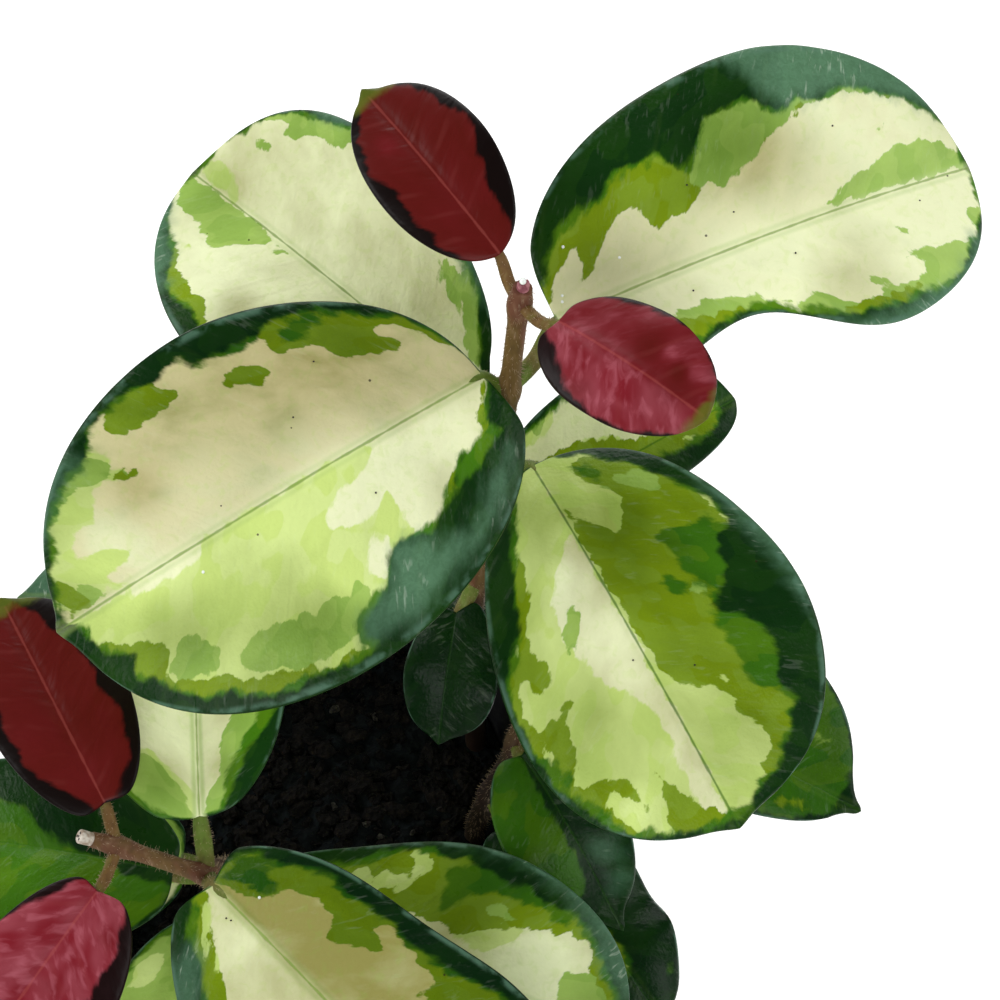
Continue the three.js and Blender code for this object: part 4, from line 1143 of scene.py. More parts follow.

# %% [markdown]
# ## Mature leaf: upper face and underside
#
# Each tissue has two tones, a shaded one and a lit one, picked by the leaf's painted light: painted
# light and shade. The cream isn't flat either: it is mottled with thin green cells and warms towards
# tan. Both faces use the same marbling, because it goes right through the blade, but the underside is
# paler, duller and has a raised midrib. The marbling also lays a bluish painted sheen, a painted
# reflection, over parts of the dark margin. On the upper face, a broken band of painted sheen lies
# just inside the dark rim, and short painted glints lie on the painted sheen.

# %% Leaf tones
# Each tissue's shaded and lit tone, painted shade and painted light; the last pair is the bluish painted
# sheen's.
TONES = {
    CREAM: (srgb(146, 142, 78), srgb(248, 255, 207)),
    LIME: (srgb(136, 160, 72), srgb(212, 234, 134)),
    MOSS: (srgb(90, 122, 38), srgb(160, 196, 92)),
    OLIVE: (srgb(84, 108, 8), srgb(132, 160, 20)),
    GREEN: (srgb(30, 72, 8), srgb(72, 126, 18)),
    DARK: (srgb(5, 32, 8), srgb(17, 54, 13)),
    PAINTED_SHEEN: (srgb(40, 74, 52), srgb(100, 144, 110)),
}
TAN = srgb(206, 188, 138)
PALE_LINE = srgb(132, 162, 66)
SECOND_TONE = 0.18  # how far a blot inside a tissue goes towards the next paler one
EDGES = {LIME: (0.6, 0.3), MOSS: (0.6, 0.15), OLIVE: (0.6, 0.15), GREEN: (0.7, 0.5), DARK: (0.5, 0.55)}


# %% Marbling
def centred(tree, value, height):
    """A number around a half turned into one around zero"""
    return times(tree, minus(tree, value, 0.5), height)


def marbled(tree):
    """The marbled colour, each tissue's mask and the veins, from the stored attributes"""
    veins = add(tree, "ShaderNodeGroup", node_tree=rib).outputs
    place, flat = veins["Vein Place"], veins["Flat Place"]
    cloud = texture(tree, place, 13.0, 4.0, 0.3)
    # Painted light and shade: the stored brightness, stirred by a cloud, picks each tissue's shaded or lit
    # tone.
    lit = plus(tree, attribute(tree, "painted_light"), centred(tree, cloud, 0.7), clamp=True)
    tone = {key: blend(tree, lit, *TONES[key]) for key in TONES}
    warmed = times(tree, attribute(tree, "warm"), ramp(tree, cloud, 0.25, 0.65))
    colour = blend(tree, warmed, tone[CREAM], TAN)
    mottle = ramp(tree, texture(tree, flat, 60.0, 4.0, 0.8), 0.5, 0.7)
    colour = wash(tree, colour, mottle, 0.24, tone[LIME])
    blots = frayed(tree, centred(tree, texture(tree, place, 15.0, 1.0), 24.0), place, 0.6, 7.3, 0.3)
    masks = {}
    for k, (tissue, (ragged, softness)) in enumerate(EDGES.items()):
        masks[tissue] = frayed(tree, attribute(tree, tissue), place, ragged, 3.1 * k, softness)
        paler = (CREAM, *TISSUES)[k]
        strength = SECOND_TONE if tissue != DARK else 0.08
        shade = blend(tree, times(tree, blots, strength), tone[tissue], tone[paler])
        colour = blend(tree, masks[tissue], colour, shade)
    # Painted sheen: a bluish painted reflection over the dark margin, broken up by fine noise.
    sheen_breakup = ramp(tree, texture(tree, flat, 110.0, 4.0, 1.0), 0.3, 0.7, 0.78, 1.0)
    sheen_patch = frayed(tree, attribute(tree, PAINTED_SHEEN), place, 0.8, 20.0, 2.4)
    masks[PAINTED_SHEEN] = times(tree, sheen_patch, sheen_breakup)
    colour = wash(tree, colour, masks[PAINTED_SHEEN], 0.8, tone[PAINTED_SHEEN])
    return colour, masks, veins, tone


# %% Upper face
def leaf_top():
    """The waxy upper face"""
    made, tree, shader = finish("leaf_top", roughness=0.4, Specular_IOR_Level=0.11)
    colour, masks, veins, tone = marbled(tree)
    flat, place = veins["Flat Place"], veins["Vein Place"]
    pale = blend(tree, masks[DARK], tone[CREAM], tone[MOSS])
    colour = wash(tree, colour, veins["Side Veins"], 0.018, pale)
    darkness = attribute(tree, "rib")
    ridge = times(tree, veins["Groove"], minus(tree, 0.45, darkness), clamp=True)
    colour = blend(tree, ridge, colour, tone[CREAM])
    shoulder = times(tree, veins["Groove"], minus(tree, 1.0, veins["Groove"]))
    shoulder = times(tree, shoulder, minus(tree, 1.2, darkness), clamp=True)
    colour = blend(tree, shoulder, colour, tone[MOSS])
    line = blend(tree, darkness, PALE_LINE, tone[GREEN])
    strength = minus(tree, 0.75, times(tree, masks[DARK], 0.5))
    colour = wash(tree, colour, veins["Midrib"], strength, line)
    edge = attribute(tree, "edge")
    # Painted sheen: a broken pale band just inside the dark rim.
    painted_rim_sheen = times(tree, ramp(tree, edge, 0.93, 0.97), ramp(tree, edge, 0.98, 1.0, 1.0, 0.0))
    painted_rim_sheen = times(tree, painted_rim_sheen, ramp(tree, texture(tree, flat, 24.0, 4.0), 0.42, 0.6))
    painted_rim_sheen = times(tree, painted_rim_sheen, times(tree, masks[DARK], 0.7))
    colour = blend(tree, painted_rim_sheen, colour, srgb(84, 120, 98))
    specks = add(tree, "ShaderNodeTexVoronoi", {"Vector": flat, "Scale": 26.0})
    chance = add(tree, "ShaderNodeSeparateColor", {"Color": specks.outputs["Color"]}).outputs[1]
    near = maths(tree, "LESS_THAN", specks.outputs["Distance"], 0.055)
    speck = times(tree, near, maths(tree, "GREATER_THAN", chance, 0.88))
    colour = wash(tree, colour, speck, 0.8, srgb(40, 30, 16))
    # Painted highlights: short pale glints all over, strongest on the painted sheen.
    streaks = stretched(tree, place, (1.0, 0.3, 1.0))
    glints = ramp(tree, texture(tree, streaks, 110.0, 3.0, 0.5), 0.56, 0.68)
    glints = times(tree, glints, ramp(tree, texture(tree, flat, 11.0, 2.0), 0.44, 0.62))
    shine = plus(tree, 0.045, times(tree, masks[PAINTED_SHEEN], 0.26))
    colour = wash(tree, colour, glints, shine, srgb(222, 236, 216))
    tree.links.new(colour, shader.inputs["Base Color"])
    wrinkle = texture(tree, streaks, 34.0, 2.0, 0.6)
    dull = ramp(tree, texture(tree, flat, 45.0, 4.0), 0.3, 0.8, 0.27, 0.4)
    tree.links.new(plus(tree, dull, times(tree, masks[PAINTED_SHEEN], 0.12)), shader.inputs["Roughness"])
    fine = times(tree, texture(tree, flat, 130.0, 3.0), 0.55)
    height = plus(tree, times(tree, wrinkle, 0.9), fine)
    height = minus(tree, height, times(tree, veins["Midrib"], 0.25))
    raise_surface(tree, shader, height, 0.3 * MM, 0.8)
    return made


# %% Underside
def leaf_underside():
    """The paler, duller lower face"""
    made, tree, shader = finish("leaf_underside", roughness=0.6, Specular_IOR_Level=0.3)
    colour, _, veins, tone = marbled(tree)
    colour = blend(tree, 0.3, colour, srgb(140, 164, 104))
    colour = wash(tree, colour, veins["Groove"], 0.5, srgb(170, 176, 114))
    tree.links.new(colour, shader.inputs["Base Color"])
    height = plus(tree, veins["Groove"], times(tree, veins["Side Veins"], 0.3))
    height = plus(tree, height, times(tree, texture(tree, veins["Flat Place"], 90.0, 3.0), 0.2))
    raise_surface(tree, shader, height, 0.5 * MM, 0.8)
    return made


leaf_top()
leaf_underside()

# %% [markdown]
# ## Young leaf: deep red, with a near-black rim and a green tip
#
# New leaves come out full of red pigment. It is darkest round the margin and fades to green at the
# tip first. The soft young skin is wet-looking and puckered between the veins, which stay pink. Its
# red is lit and shaded by painted light and shade, and soft pink patches of painted sheen lie on it.


# %% Young leaf finishes
def red_leaf(name, dulled):
    """The red leaf's face; the underside is the same, only duller"""
    made, tree, shader = finish(name, roughness=0.33, Specular_IOR_Level=0.1)
    veins = add(tree, "ShaderNodeGroup", node_tree=rib, inputs={"Spacing": 5.0}).outputs
    place, flat = veins["Vein Place"], veins["Flat Place"]
    painted_light, along = attribute(tree, "painted_light"), attribute(tree, "along")
    cloud = texture(tree, place, 22.0, 3.0, 0.5)
    # Painted light and shade: the stored brightness picks between a deep and a bright red.
    lit = plus(tree, painted_light, centred(tree, cloud, 0.3), clamp=True)
    red = blend(tree, lit, srgb(84, 19, 12), srgb(124, 30, 40))
    drawn = stretched(tree, place, (1.0, 0.55, 1.0))
    # Painted sheen: soft and fine pink patches, strongest where the painted light is high.
    soft_sheen = times(tree, ramp(tree, texture(tree, place, 17.0, 2.0, 0.3), 0.35, 0.7), 0.2)
    fine = times(tree, ramp(tree, texture(tree, drawn, 58.0, 5.0, 0.6), 0.46, 0.7), 0.24)
    sheen = times(tree, plus(tree, soft_sheen, fine), ramp(tree, painted_light, 0.3, 0.9))
    red = blend(tree, sheen, red, srgb(206, 120, 134))
    red = wash(tree, red, veins["Side Veins"], 0.04, srgb(196, 110, 104))
    red = wash(tree, red, veins["Midrib"], 0.24, srgb(180, 92, 84))
    rim = frayed(tree, attribute(tree, DARK), place, 0.45, 2.0, 0.45)
    colour = wash(tree, red, rim, 0.97, srgb(7, 7, 6))
    tip = ramp(tree, plus(tree, along, centred(tree, cloud, 0.1)), 0.93, 0.985)
    colour = wash(tree, colour, tip, 0.8, srgb(92, 104, 30))
    if dulled:
        colour = blend(tree, 0.35, colour, srgb(120, 80, 62))
    tree.links.new(colour, shader.inputs["Base Color"])
    pucker = texture(tree, drawn, 34.0, 2.0, 0.5)
    height = minus(tree, times(tree, pucker, 0.9), times(tree, veins["Groove"], 0.3))
    height = plus(tree, height, times(tree, veins["Side Veins"], 0.03))
    raise_surface(tree, shader, height, 0.3 * MM, 0.8)
    return made


red_leaf("young_leaf_top", False)
red_leaf("young_leaf_underside", True)


# %% [markdown]
# ## Petioles and stems
#
# Both carry a fine grey-brown down over olive to reddish bark. The colour changes in long patches
# along the stem, so the noise is squeezed along the height. The down itself is real geometry, made
# further below, because only standing hairs soften a stem's outline.


# %% Bark and petiole finishes
PAINTED_SHADE_HEIGHTS = (0.108, 0.138)  # the heights in metres over which the painted shade low on a stem fades out


def bark(name, green, brown, flecks, low_shade=0.0):
    """Skin of a limb: two tones in streaks, with pale flecks, fine ridges and painted shade low down"""
    made, tree, shader = finish(name, roughness=0.6, Specular_IOR_Level=0.2)
    coords = own_place(tree)
    drawn = stretched(tree, coords, (1.0, 1.0, 0.35))
    patch = ramp(tree, texture(tree, drawn, 170.0, 3.0), 0.38, 0.62)
    grain = texture(tree, drawn, 900.0, 4.0)
    colour = blend(tree, patch, green, brown)
    colour = wash(tree, colour, ramp(tree, grain, 0.5, 0.8), 0.4, flecks)
    colour = wash(tree, colour, ramp(tree, grain, 0.5, 0.3), 0.3, srgb(50, 32, 20))
    height = add(tree, "ShaderNodeSeparateXYZ", {0: coords}).outputs[2]
    # Painted shade: low on a stem, under the leaves, the bark is darkened to near black.
    colour = blend(tree, ramp(tree, height, *PAINTED_SHADE_HEIGHTS, low_shade, 0.0), colour, srgb(18, 15, 12))
    tree.links.new(colour, shader.inputs["Base Color"])
    raise_surface(tree, shader, grain, 0.15 * MM, 0.7)
    return made


bark("petiole", srgb(90, 112, 38), srgb(100, 92, 46), srgb(146, 146, 96))
bark("young_petiole", srgb(100, 96, 36), srgb(108, 80, 44), srgb(152, 136, 88))
bark("stem_bark", srgb(98, 76, 40), srgb(100, 62, 46), srgb(152, 124, 98), low_shade=0.9)

# %% Leaves
for index, (name, numbers) in enumerate(LEAVES.items()):
    young = name.startswith("young")
    chosen = MARKINGS.get(name) or grown_markings(name, young)
    prefix = "young_" if young else ""
    slots = [prefix + part for part in ("leaf_top", "leaf_underside", "petiole")]
    mesh = finished_blade(blade_sheet(name + "_blade", numbers, chosen, index), slots)
    mesh.transform(blade_frame(numbers))
    path = petiole_path(numbers)
    stalk = limb_mesh(name + "_stalk", path, petiole_radii(len(path), young))
    for face in stalk.polygons:
        face.material_index = PETIOLE
    whole = bmesh.new()
    whole.from_mesh(mesh)
    whole.from_mesh(stalk)
    whole.to_mesh(mesh)
    whole.free()
    bpy.data.meshes.remove(stalk)
    piece(name + "_grown", mesh, "young_leaf" if young else "leaf", name)
print("leaf triangles:", triangles(name + "_grown" for name in LEAVES))

# %% [markdown]
# ## Stems
#
# Each stem tapers from its foot and swells at every joint, where a pair of leaves and a pair of
# sleeping buds sit. Between the joints it is a plain limb, so a radius along its path says it all.
# Vine b ends a little thinner than the others, and than the fixed model.

# %% Stem shapes
STEM_FOOT_RADIUS = 2.3
STEM_TIP_RADIUS = 1.5
THIN_TIP_RADIUS = 1.2  # vine b, which has lost its bud
NODE_SWELLING = 0.55
NODE_REACH = 2.6
BURIED = 20
STEM_PLACES = 110  # how many points a stem's path has


def stem_path(points):
    """The whole stem's middle line, with its buried foot"""
    foot = (points[0][0], points[0][1], points[0][2] - BURIED)
    return smooth_path([foot, *points], STEM_PLACES)


def stem_radii(path, points):
    """The stem's radius along its path"""
    tip_radius = THIN_TIP_RADIUS if points is VINES["b"] else STEM_TIP_RADIUS
    far = np.concatenate([[0], np.cumsum(steps_along(path))])
    swelling = np.zeros(len(path))
    for joint in points[1:-1]:
        at = far[np.argmin(np.linalg.norm(path - np.array(joint), axis=1))]
        swelling += np.exp(-(((far - at) / NODE_REACH) ** 2))
    taper = STEM_FOOT_RADIUS + (tip_radius - STEM_FOOT_RADIUS) * far / far[-1]
    return taper + NODE_SWELLING * np.minimum(1, swelling)


for key, points in VINES.items():
    path = stem_path(points)
    mesh = limb_mesh(f"stem_{key}_limb", path, stem_radii(path, points), fineness=5)
    mesh.materials.append(bpy.data.materials["stem_bark"])
    piece(f"stem_{key}_grown", mesh, "stem", f"stem_{key}")

# %% [markdown]
# ## Down on the stems and petioles
#
# Young growth of this plant is downy. Each hair is a three-sided spike, the smallest cone there is,
# set square to the limb and leaning a little at random. A few thousand of them are still light.


# %% Hairs
HAIR_LENGTH = 0.75
PETIOLE_HAIR_LENGTH = 0.5
HAIR_RADIUS = 0.035
HAIR_LEAN = 0.35
STEM_HAIRS = 10  # for each mm
PETIOLE_HAIRS = 12  # for each mm
BARE_FOOT = 0.25  # the share of a stem that is buried or has lost its down


def hairs(name, path, radii, per_mm, length=HAIR_LENGTH, start=0.0):
    """Spikes standing on a limb"""
    bm = bmesh.new()
    for _ in range(int(per_mm * steps_along(path).sum())):
        along = rng.uniform(start, 1) * (len(path) - 1.001)
        i, share = int(along), along % 1
        here = Vector(path[i]).lerp(Vector(path[i + 1]), share)
        axis = (Vector(path[i + 1]) - Vector(path[i])).normalized()
        out = axis.orthogonal().normalized()
        out.rotate(Matrix.Rotation(rng.uniform(0, 2 * math.pi), 3, axis))
        lean = (out + axis * rng.gauss(0, HAIR_LEAN)).normalized()
        size = length * rng.uniform(0.5, 1.2)
        middle = here + out * (radii[i] * 0.96) + lean * size / 2
        turn = lean.to_track_quat("Z", "Y").to_matrix().to_4x4()
        bmesh.ops.create_cone(bm, segments=3, radius1=HAIR_RADIUS * MM, radius2=0.2 * HAIR_RADIUS * MM,
                              depth=size * MM, matrix=Matrix.Translation(middle * MM) @ turn)
    mesh = mesh_from(bm, name)
    return mesh


down, down_tree, down_shader = finish("down", roughness=0.7)
two_tones(down_tree, down_shader, texture(down_tree, own_place(down_tree), 300.0),
          srgb(196, 178, 146), srgb(150, 122, 96))
for key, points in VINES.items():
    path = stem_path(points)
    mesh = hairs(f"stem_{key}_hairs", path, stem_radii(path, points), STEM_HAIRS, start=BARE_FOOT)
    mesh.materials.append(down)
    piece(f"stem_{key}_down", mesh, "stem")
for name, numbers in LEAVES.items():
    radii = petiole_radii(PETIOLE_PLACES, name.startswith("young"))
    path = petiole_path(numbers)[:PETIOLE_OUTSIDE]
    mesh = hairs(name + "_hairs", path, radii, PETIOLE_HAIRS, PETIOLE_HAIR_LENGTH)
    mesh.materials.append(down)
    piece(name + "_down", mesh, "leaf")
print("hair triangles:", triangles(o.name for o in bpy.data.objects if o.name.endswith("_down")))

# %% [markdown]
# ## Growing tips, drops and specks
#
# Each vine ends in a tiny reddish bud of two folded leaflets, and vine a's bud carries a drop of
# water. Vine b has lost its bud and keeps a whitish stub, whose pitted end is four dark ovals: painted
# shade for the pits. The smallest things on a leaf are also solids here: beads of water and dark
# grains of dust. A small sphere is enough. The drops are opaque and near white: a painted highlight
# for the glint of clear water.


# %% Tips
def soft_skin(name, pale, deep, scale, roughness=0.7):
    """A dull skin of two tones in small clouds"""
    made, tree, shader = finish(name, roughness=roughness)
    coords = own_place(tree)
    cloud = texture(tree, coords, scale, 3.0)
    two_tones(tree, shader, ramp(tree, cloud, 0.35, 0.65), pale, deep)
    raise_surface(tree, shader, cloud, 0.1 * MM, 0.6)
    return made


def moved_by(x, y, z):
    """A shift by sizes in mm"""
    return Matrix.Translation(Vector((x, y, z)) * MM)


def oval(bm, frame_here, size):
    """A small ellipsoid with its sizes in mm"""
    scale = Matrix.Diagonal((*size, 1))
    return bmesh.ops.create_icosphere(bm, subdivisions=2, radius=MM, matrix=frame_here @ scale)


def paint(made, slot):
    """Give the faces round newly made vertices one of the mesh's materials"""
    for face in {face for vert in made["verts"] for face in vert.link_faces}:
        face.material_index = slot


def tip_frame(points):
    """What carries a small shape to a vine's tip, with z along the vine"""
    end = Vector(points[-1])
    along = end - Vector(points[-2])
    return Matrix.Translation(end * MM) @ along.to_track_quat("Z", "Y").to_matrix().to_4x4()


# Painted highlight: the water drops are opaque and near white, for the glint of clear water.
water_glint_skin = soft_skin("water", srgb(250, 252, 250), srgb(226, 236, 224), 2000.0, roughness=0.15)
bud_skin = soft_skin("bud", srgb(176, 118, 122), srgb(126, 64, 74), 900.0)
stub_skin = soft_skin("stub", srgb(206, 198, 184), srgb(158, 140, 122), 1200.0)
# Painted shade: the stub's pits are dark ovals, not holes.
pit_shade_skin = soft_skin("pit", srgb(40, 30, 24), srgb(20, 15, 12), 900.0)
STUB_RADII = (1.05, 1.15)
STUB_LENGTH = 2.6
STUB_RISE = 0.9
STUB_ROUND = 0.3
PIT_SIZE = (0.24, 0.24, 0.12)
PIT_REACH = 0.55
PIT_RISE = 2.17
LEAFLET_SIZE = (0.4, 0.8, 1.2)
LEAFLET_OUT = 0.45
LEAFLET_LEAN = 0.3
BUD_FOOT_SIZE = (1.0, 1.1, 0.7)
DROP_SIZE = (0.55, 0.55, 0.55)
BODY, PIT_SHADE, WATER_GLINT = 0, 1, 2


def stub(bm, place):
    """The end of a vine that has lost its bud: a short rounded cylinder with four dark ovals in its end,
    painted shade that stands for pits
    """
    foot_radius, end_radius = STUB_RADII
    bmesh.ops.create_cone(bm, cap_ends=True, segments=24, radius1=foot_radius * MM, radius2=end_radius * MM,
                          depth=STUB_LENGTH * MM, matrix=place @ moved_by(0, 0, STUB_RISE))
    bmesh.ops.bevel(bm, geom=[e for e in bm.edges if e.calc_face_angle(0) > 1], offset=STUB_ROUND * MM,
                    segments=3, affect="EDGES", profile=0.5, material=-1)
    for turn, out in ((0, PIT_REACH), (1, PIT_REACH), (2, PIT_REACH), (3, 0.0)):
        angle = turn * 2 * math.pi / 3
        spot = moved_by(out * math.cos(angle), out * math.sin(angle), PIT_RISE)
        paint(oval(bm, place @ spot, PIT_SIZE), PIT_SHADE)


def bud(bm, place):
    """Two folded leaflets on a rounded foot"""
    for side in (-1, 1):
        lean = Matrix.Rotation(LEAFLET_LEAN * side, 4, "Y")
        oval(bm, place @ moved_by(LEAFLET_OUT * side, 0, 0.5) @ lean, LEAFLET_SIZE)
    oval(bm, place @ moved_by(0, 0, 0.3), BUD_FOOT_SIZE)


for key, points in VINES.items():
    place = tip_frame(points)
    bm = bmesh.new()
    if key == "b":
        stub(bm, place)
    else:
        bud(bm, place)
    if key == "a":
        paint(oval(bm, place @ moved_by(-0.2, 0, 2.0), DROP_SIZE), WATER_GLINT)
    mesh = mesh_from(bm, f"tip_{key}")
    for skin in (stub_skin if key == "b" else bud_skin, pit_shade_skin, water_glint_skin):
        mesh.materials.append(skin)
    piece(f"tip_{key}_grown", mesh, "stem")


# %% Drops and specks: the leaf, then the place in percent of its length
DROPS = {"leaf_a1_right": [(7, 13.8), (16, 7), (2, 3.2), (2.6, 4.4)], "leaf_a1_left": [(72, 5.5)],
         "leaf_b1_front": [(10.5, 5)]}
SPECKS = {"leaf_a1_right": [(71, 17.5), (42, 7), (35, 16), (27.5, -5.5), (51, -6), (84, -4)],
          "leaf_b1_front": [(8, -3), (9, -2.6)], "leaf_a1_left": [(34, 10), (40, -12), (62, -4), (30, -20)],
          "leaf_a2_front": [(58, -3), (66, 9)], "leaf_a2_back": [(44, 6)]}
DROP_RADIUS = 0.25
DUST_RADIUS = 0.16
HALF_THICKNESS = BLADE_THICKNESS / 2


def on_leaf(numbers, x, y):
    """The place on a blade's upper face at percents of its length along and across, in metres"""
    s = np.array(x / 100)
    reach = abs(blade_points(numbers, s, np.array(math.copysign(1.0, y)))[1])
    t = np.array(y * numbers["length"] / 100 / reach)
    middle = Vector(blade_points(numbers, s, t).tolist())
    return blade_frame(numbers) @ ((middle + Vector((0, 0, HALF_THICKNESS))) * MM)


def beads(name, places, size, skin):
    """Small round grains on the leaves"""
    bm = bmesh.new()
    for leaf_name, spots in places.items():
        for x, y in spots:
            place = Matrix.Translation(on_leaf(LEAVES[leaf_name], x, y))
            oval(bm, place, (size, size * rng.uniform(0.8, 1.2), size))
    mesh = mesh_from(bm, name)
    mesh.materials.append(skin)
    piece(name, mesh, "leaf")


beads("water_drops", DROPS, DROP_RADIUS, water_glint_skin)
beads("dust_specks", SPECKS, DUST_RADIUS, soft_skin("dust", srgb(44, 34, 26), srgb(20, 15, 12), 2000.0))

# %% [markdown]
# ## Potting mix
#
# The filling is turned on its axis like the pot, from a profile with a fine upper edge. Its top is
# then pushed up and down, in the fixed model's lumps first and in smaller crumbs on top of them.

# %% Filling
POT_HEIGHT = 88
POT_RIM_RADIUS = 50
POT_BASE_RADIUS = 36
POT_WALL = 1.7
POT_FLOOR = 2.2
BAND_HEIGHT = 13
BAND_STEP = 1.6
EDGE_ROUND = 0.8
CLEARANCE = 0.3
SOIL_LEVEL = 77
SOIL_CROWN = 2.5
SOIL_LUMP = 1.1
SOIL_RINGS = 60
CRUMB_HEIGHT = 0.9
TURNS = 128


def inner_radius(z):
    """The pot's inside radius at a height, in mm"""
    return (POT_BASE_RADIUS - POT_WALL) + (POT_RIM_RADIUS - POT_BASE_RADIUS) * z / POT_HEIGHT


def soil_height(x, y):
    """The filling's top at a place, in mm"""
    share = math.hypot(x, y) / inner_radius(SOIL_LEVEL)
    lumps = math.sin(0.55 * x + 0.9 * math.sin(0.31 * y)) * math.sin(0.49 * y + 1.1 * math.sin(0.37 * x))
    return SOIL_LEVEL - SOIL_CROWN * share ** 2 + SOIL_LUMP * lumps * (1 - share ** 8)


def turned(name, profile, steps):
    """A closed round shape from a profile of radius and height in mm"""
    bm = bmesh.new()
    verts = [bm.verts.new((r * MM, 0, z * MM)) for r, z in profile]
    edges = [bm.edges.new(pair) for pair in zip(verts, verts[1:])]
    bmesh.ops.spin(bm, geom=verts + edges, cent=(0, 0, 0), axis=(0, 0, 1), angle=2 * math.pi,
                   steps=steps, use_merge=True)
    bmesh.ops.remove_doubles(bm, verts=bm.verts, dist=1e-6)
    bmesh.ops.recalc_face_normals(bm, faces=bm.faces)
    mesh = mesh_from(bm, name)
    return mesh


shoulder = SOIL_LEVEL - SOIL_CROWN
foot = POT_FLOOR + CLEARANCE
soil_profile = [(0, foot), (inner_radius(foot) - CLEARANCE, foot)]
top_radius = inner_radius(shoulder) - CLEARANCE
soil_profile += [(top_radius * (1 - k / SOIL_RINGS), shoulder) for k in range(SOIL_RINGS + 1)]
soil_mesh = turned("soil_fill", soil_profile, TURNS)
for vert in soil_mesh.vertices:
    x, y, z = vert.co / MM
    if z > shoulder - 0.1:
        crumbs = noise.fractal(Vector((x, y, 3.0)) * 0.35, 0.8, 2.0, 4)
        fade = 1 - min(1, math.hypot(x, y) / inner_radius(shoulder)) ** 12
        vert.co.z = (soil_height(x, y) + CRUMB_HEIGHT * crumbs * fade) * MM


def mix_finish(name, dark, light, scale):
    """Very dark crumbs: the mix's own dark colour, darkened further as painted shade under the leaves"""
    made, tree, shader = finish(name, roughness=0.85, Specular_IOR_Level=0.1)
    coords = own_place(tree)
    crumb = texture(tree, coords, scale, 5.0, 0.5)
    fibre = add(tree, "ShaderNodeTexVoronoi", {"Vector": coords, "Scale": scale * 1.6}).outputs["Distance"]
    two_tones(tree, shader, ramp(tree, crumb, 0.45, 0.75), dark, light)
    raise_surface(tree, shader, plus(tree, crumb, fibre), 1.2 * MM, 1.0)
    return made


# Partly painted shade: the mix gets near-black tones for the shade under the leaves.
soil_mesh.materials.append(mix_finish("potting_mix", srgb(8, 12, 14), srgb(18, 24, 27), 320.0))
piece("potting_mix_fill", soil_mesh, "soil", "soil")

# %% [markdown]
# ## Bark chips and grit
#
# A handful of solids makes the mix read as bark and perlite and not as paint. Each chip is a small
# round shape squashed and knocked out of true, so that no two are alike, and half sunk in the mix.


# %% Chips
WALL_GAP = 3
STEM_GAP = 4.5
CHIP_LIFT = 0.4
CHIP_TILT = 0.35
CHIP_KNOCK = 0.16


def scatter(name, count, size, squash, material):
    """Rough crumbs half sunk in the filling's top"""
    bm = bmesh.new()
    for _ in range(count):
        reach = (inner_radius(SOIL_LEVEL) - WALL_GAP) * math.sqrt(rng.random())
        angle = rng.uniform(0, 2 * math.pi)
        x, y = reach * math.cos(angle), reach * math.sin(angle)
        if any(math.hypot(x - p[0][0], y - p[0][1]) < STEM_GAP for p in VINES.values()):
            continue
        grain = rng.uniform(*size)
        turn = Matrix.Rotation(rng.uniform(0, 6.3), 4, "Z")
        turn = turn @ Matrix.Rotation(rng.gauss(0, CHIP_TILT), 4, "X")
        shape = Matrix.Diagonal((grain, grain * rng.uniform(0.45, 0.8), grain * squash, 1))
        place = moved_by(x, y, soil_height(x, y) + CHIP_LIFT)
        made = bmesh.ops.create_icosphere(bm, subdivisions=1, radius=MM, matrix=place @ turn @ shape)
        for vert in made["verts"]:
            knock = [rng.uniform(-CHIP_KNOCK, CHIP_KNOCK) * grain * MM for _ in range(3)]
            vert.co += Vector(knock) * (0.4 + squash)
    mesh = mesh_from(bm, name)
    mesh.materials.append(material)
    made = piece(name, mesh, "soil")
    for face in mesh.polygons:
        face.use_smooth = False
    return made


# Partly painted shade: the chips, crumbs and grit get very dark tones for the shade under the leaves.
CHIPS = (
    ("bark_chips", 520, (1.2, 3.4), 0.35, "bark_chip", (12, 11, 10), (30, 25, 21), 500.0),
    ("peat_crumbs", 900, (0.5, 1.2), 0.8, "peat", (9, 8, 8), (20, 18, 16), 700.0),
    ("perlite_grit", 34, (0.7, 1.5), 0.8, "perlite", (52, 50, 46), (88, 86, 80), 900.0),
)
for name, count, size, squash, skin, dark, light, scale in CHIPS:
    scatter(name, count, size, squash, mix_finish(skin, srgb(*dark), srgb(*light), scale))

# %% [markdown]
# ## The pot
#
# A nursery pot is one thin shell of black plastic: a tapered wall, a thicker band under the rim and
# drain holes in its floor. It is turned from a profile of its wall, and the holes are then cut with
# a Boolean, the plain way to drill a thin sheet.

# %% Pot
EDGE_CUT = 0.25  # where a rounded edge's middle lies, in from its corner
DRAIN_HOLES = 6
DRAIN_REACH = 24
DRAIN_RADIUS = 3.5
band_foot = POT_HEIGHT - BAND_HEIGHT
band_radius = POT_RIM_RADIUS - EDGE_ROUND / 2
pot_profile = [
    (0, 0),
    (POT_BASE_RADIUS - EDGE_ROUND, 0),
    (POT_BASE_RADIUS - EDGE_CUT, EDGE_CUT),
    (POT_BASE_RADIUS, EDGE_ROUND),
    (inner_radius(band_foot) + POT_WALL - BAND_STEP / 2, band_foot),
    (band_radius - 0.3, band_foot + EDGE_CUT),
    (band_radius, band_foot + EDGE_ROUND),
    (POT_RIM_RADIUS, POT_HEIGHT - EDGE_ROUND),
    (POT_RIM_RADIUS - EDGE_CUT, POT_HEIGHT - EDGE_CUT),
    (POT_RIM_RADIUS - EDGE_ROUND, POT_HEIGHT),
    (POT_RIM_RADIUS - POT_WALL, POT_HEIGHT),
    (inner_radius(POT_FLOOR), POT_FLOOR),
    (0, POT_FLOOR),
]
pot_mesh = turned("pot_shell", pot_profile, TURNS)
drill = bmesh.new()
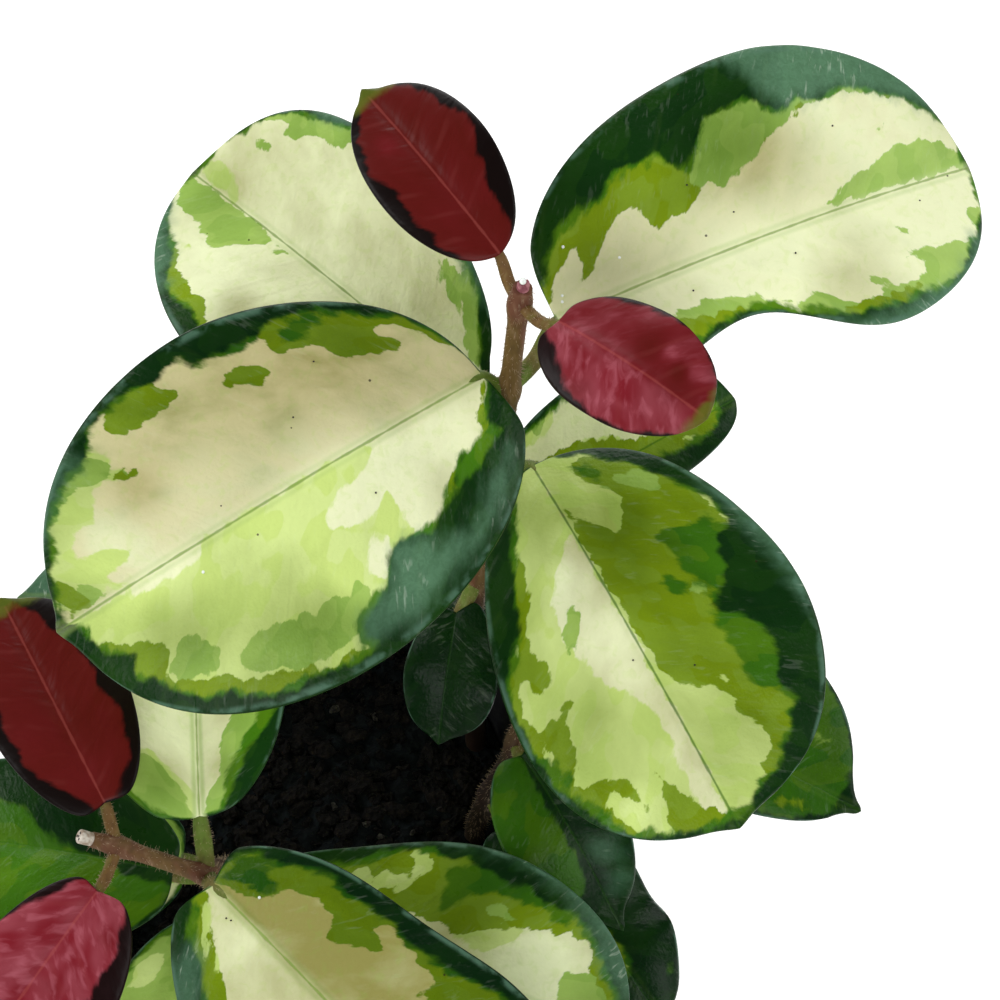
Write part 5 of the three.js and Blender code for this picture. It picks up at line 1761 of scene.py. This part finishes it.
for k in range(DRAIN_HOLES):
    angle = 2 * math.pi * (k + 0.5) / DRAIN_HOLES
    place = moved_by(DRAIN_REACH * math.cos(angle), DRAIN_REACH * math.sin(angle), POT_FLOOR / 2)
    bmesh.ops.create_cone(drill, cap_ends=True, segments=32, radius1=DRAIN_RADIUS * MM,
                          radius2=DRAIN_RADIUS * MM, depth=3 * POT_FLOOR * MM, matrix=place)
drill_holder = shown("drill", mesh_from(drill, "drill"))
pot_holder = shown("pot_holder", pot_mesh)
cut = pot_holder.modifiers.new("drain_holes", "BOOLEAN")
cut.object = drill_holder
cut.operation = "DIFFERENCE"
cut.solver = "EXACT"
graph = bpy.context.evaluated_depsgraph_get()
drilled = bpy.data.meshes.new_from_object(pot_holder.evaluated_get(graph), depsgraph=graph)
for holder in (drill_holder, pot_holder):
    bpy.data.objects.remove(holder)

plastic, plastic_tree, plastic_shader = finish("black_plastic", roughness=0.45)
plastic_coords = own_place(plastic_tree)
dust = ramp(plastic_tree, texture(plastic_tree, plastic_coords, 60.0, 5.0), 0.45, 0.8)
two_tones(plastic_tree, plastic_shader, times(plastic_tree, dust, 0.35), srgb(22, 22, 24), srgb(60, 58, 54))
plastic_tree.links.new(
    ramp(plastic_tree, texture(plastic_tree, plastic_coords, 260.0, 3.0), 0.3, 0.7, 0.38, 0.55),
    plastic_shader.inputs["Roughness"],
)
fine_grain = texture(plastic_tree, plastic_coords, 1800.0, 2.0)
raise_surface(plastic_tree, plastic_shader, fine_grain, 0.05 * MM, 0.6)
drilled.materials.clear()
drilled.materials.append(plastic)
pot = piece("nursery_pot", drilled, "pot", "pot")
pot.data.set_sharp_from_angle(angle=math.radians(35))
print("pot faces:", len(drilled.polygons))

# %% [markdown]
# ## Sizes
#
# The dressed plant is meant to keep the fixed model's size, so how far each side of its box has moved is
# printed.

# %% Compare the boxes and finish
seen_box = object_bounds()
grown = [round((b - a) / MM, 2) for p, q in zip(cad_box, seen_box) for a, b in zip(p, q)]
print("each side of the box has moved by, mm:", grown)
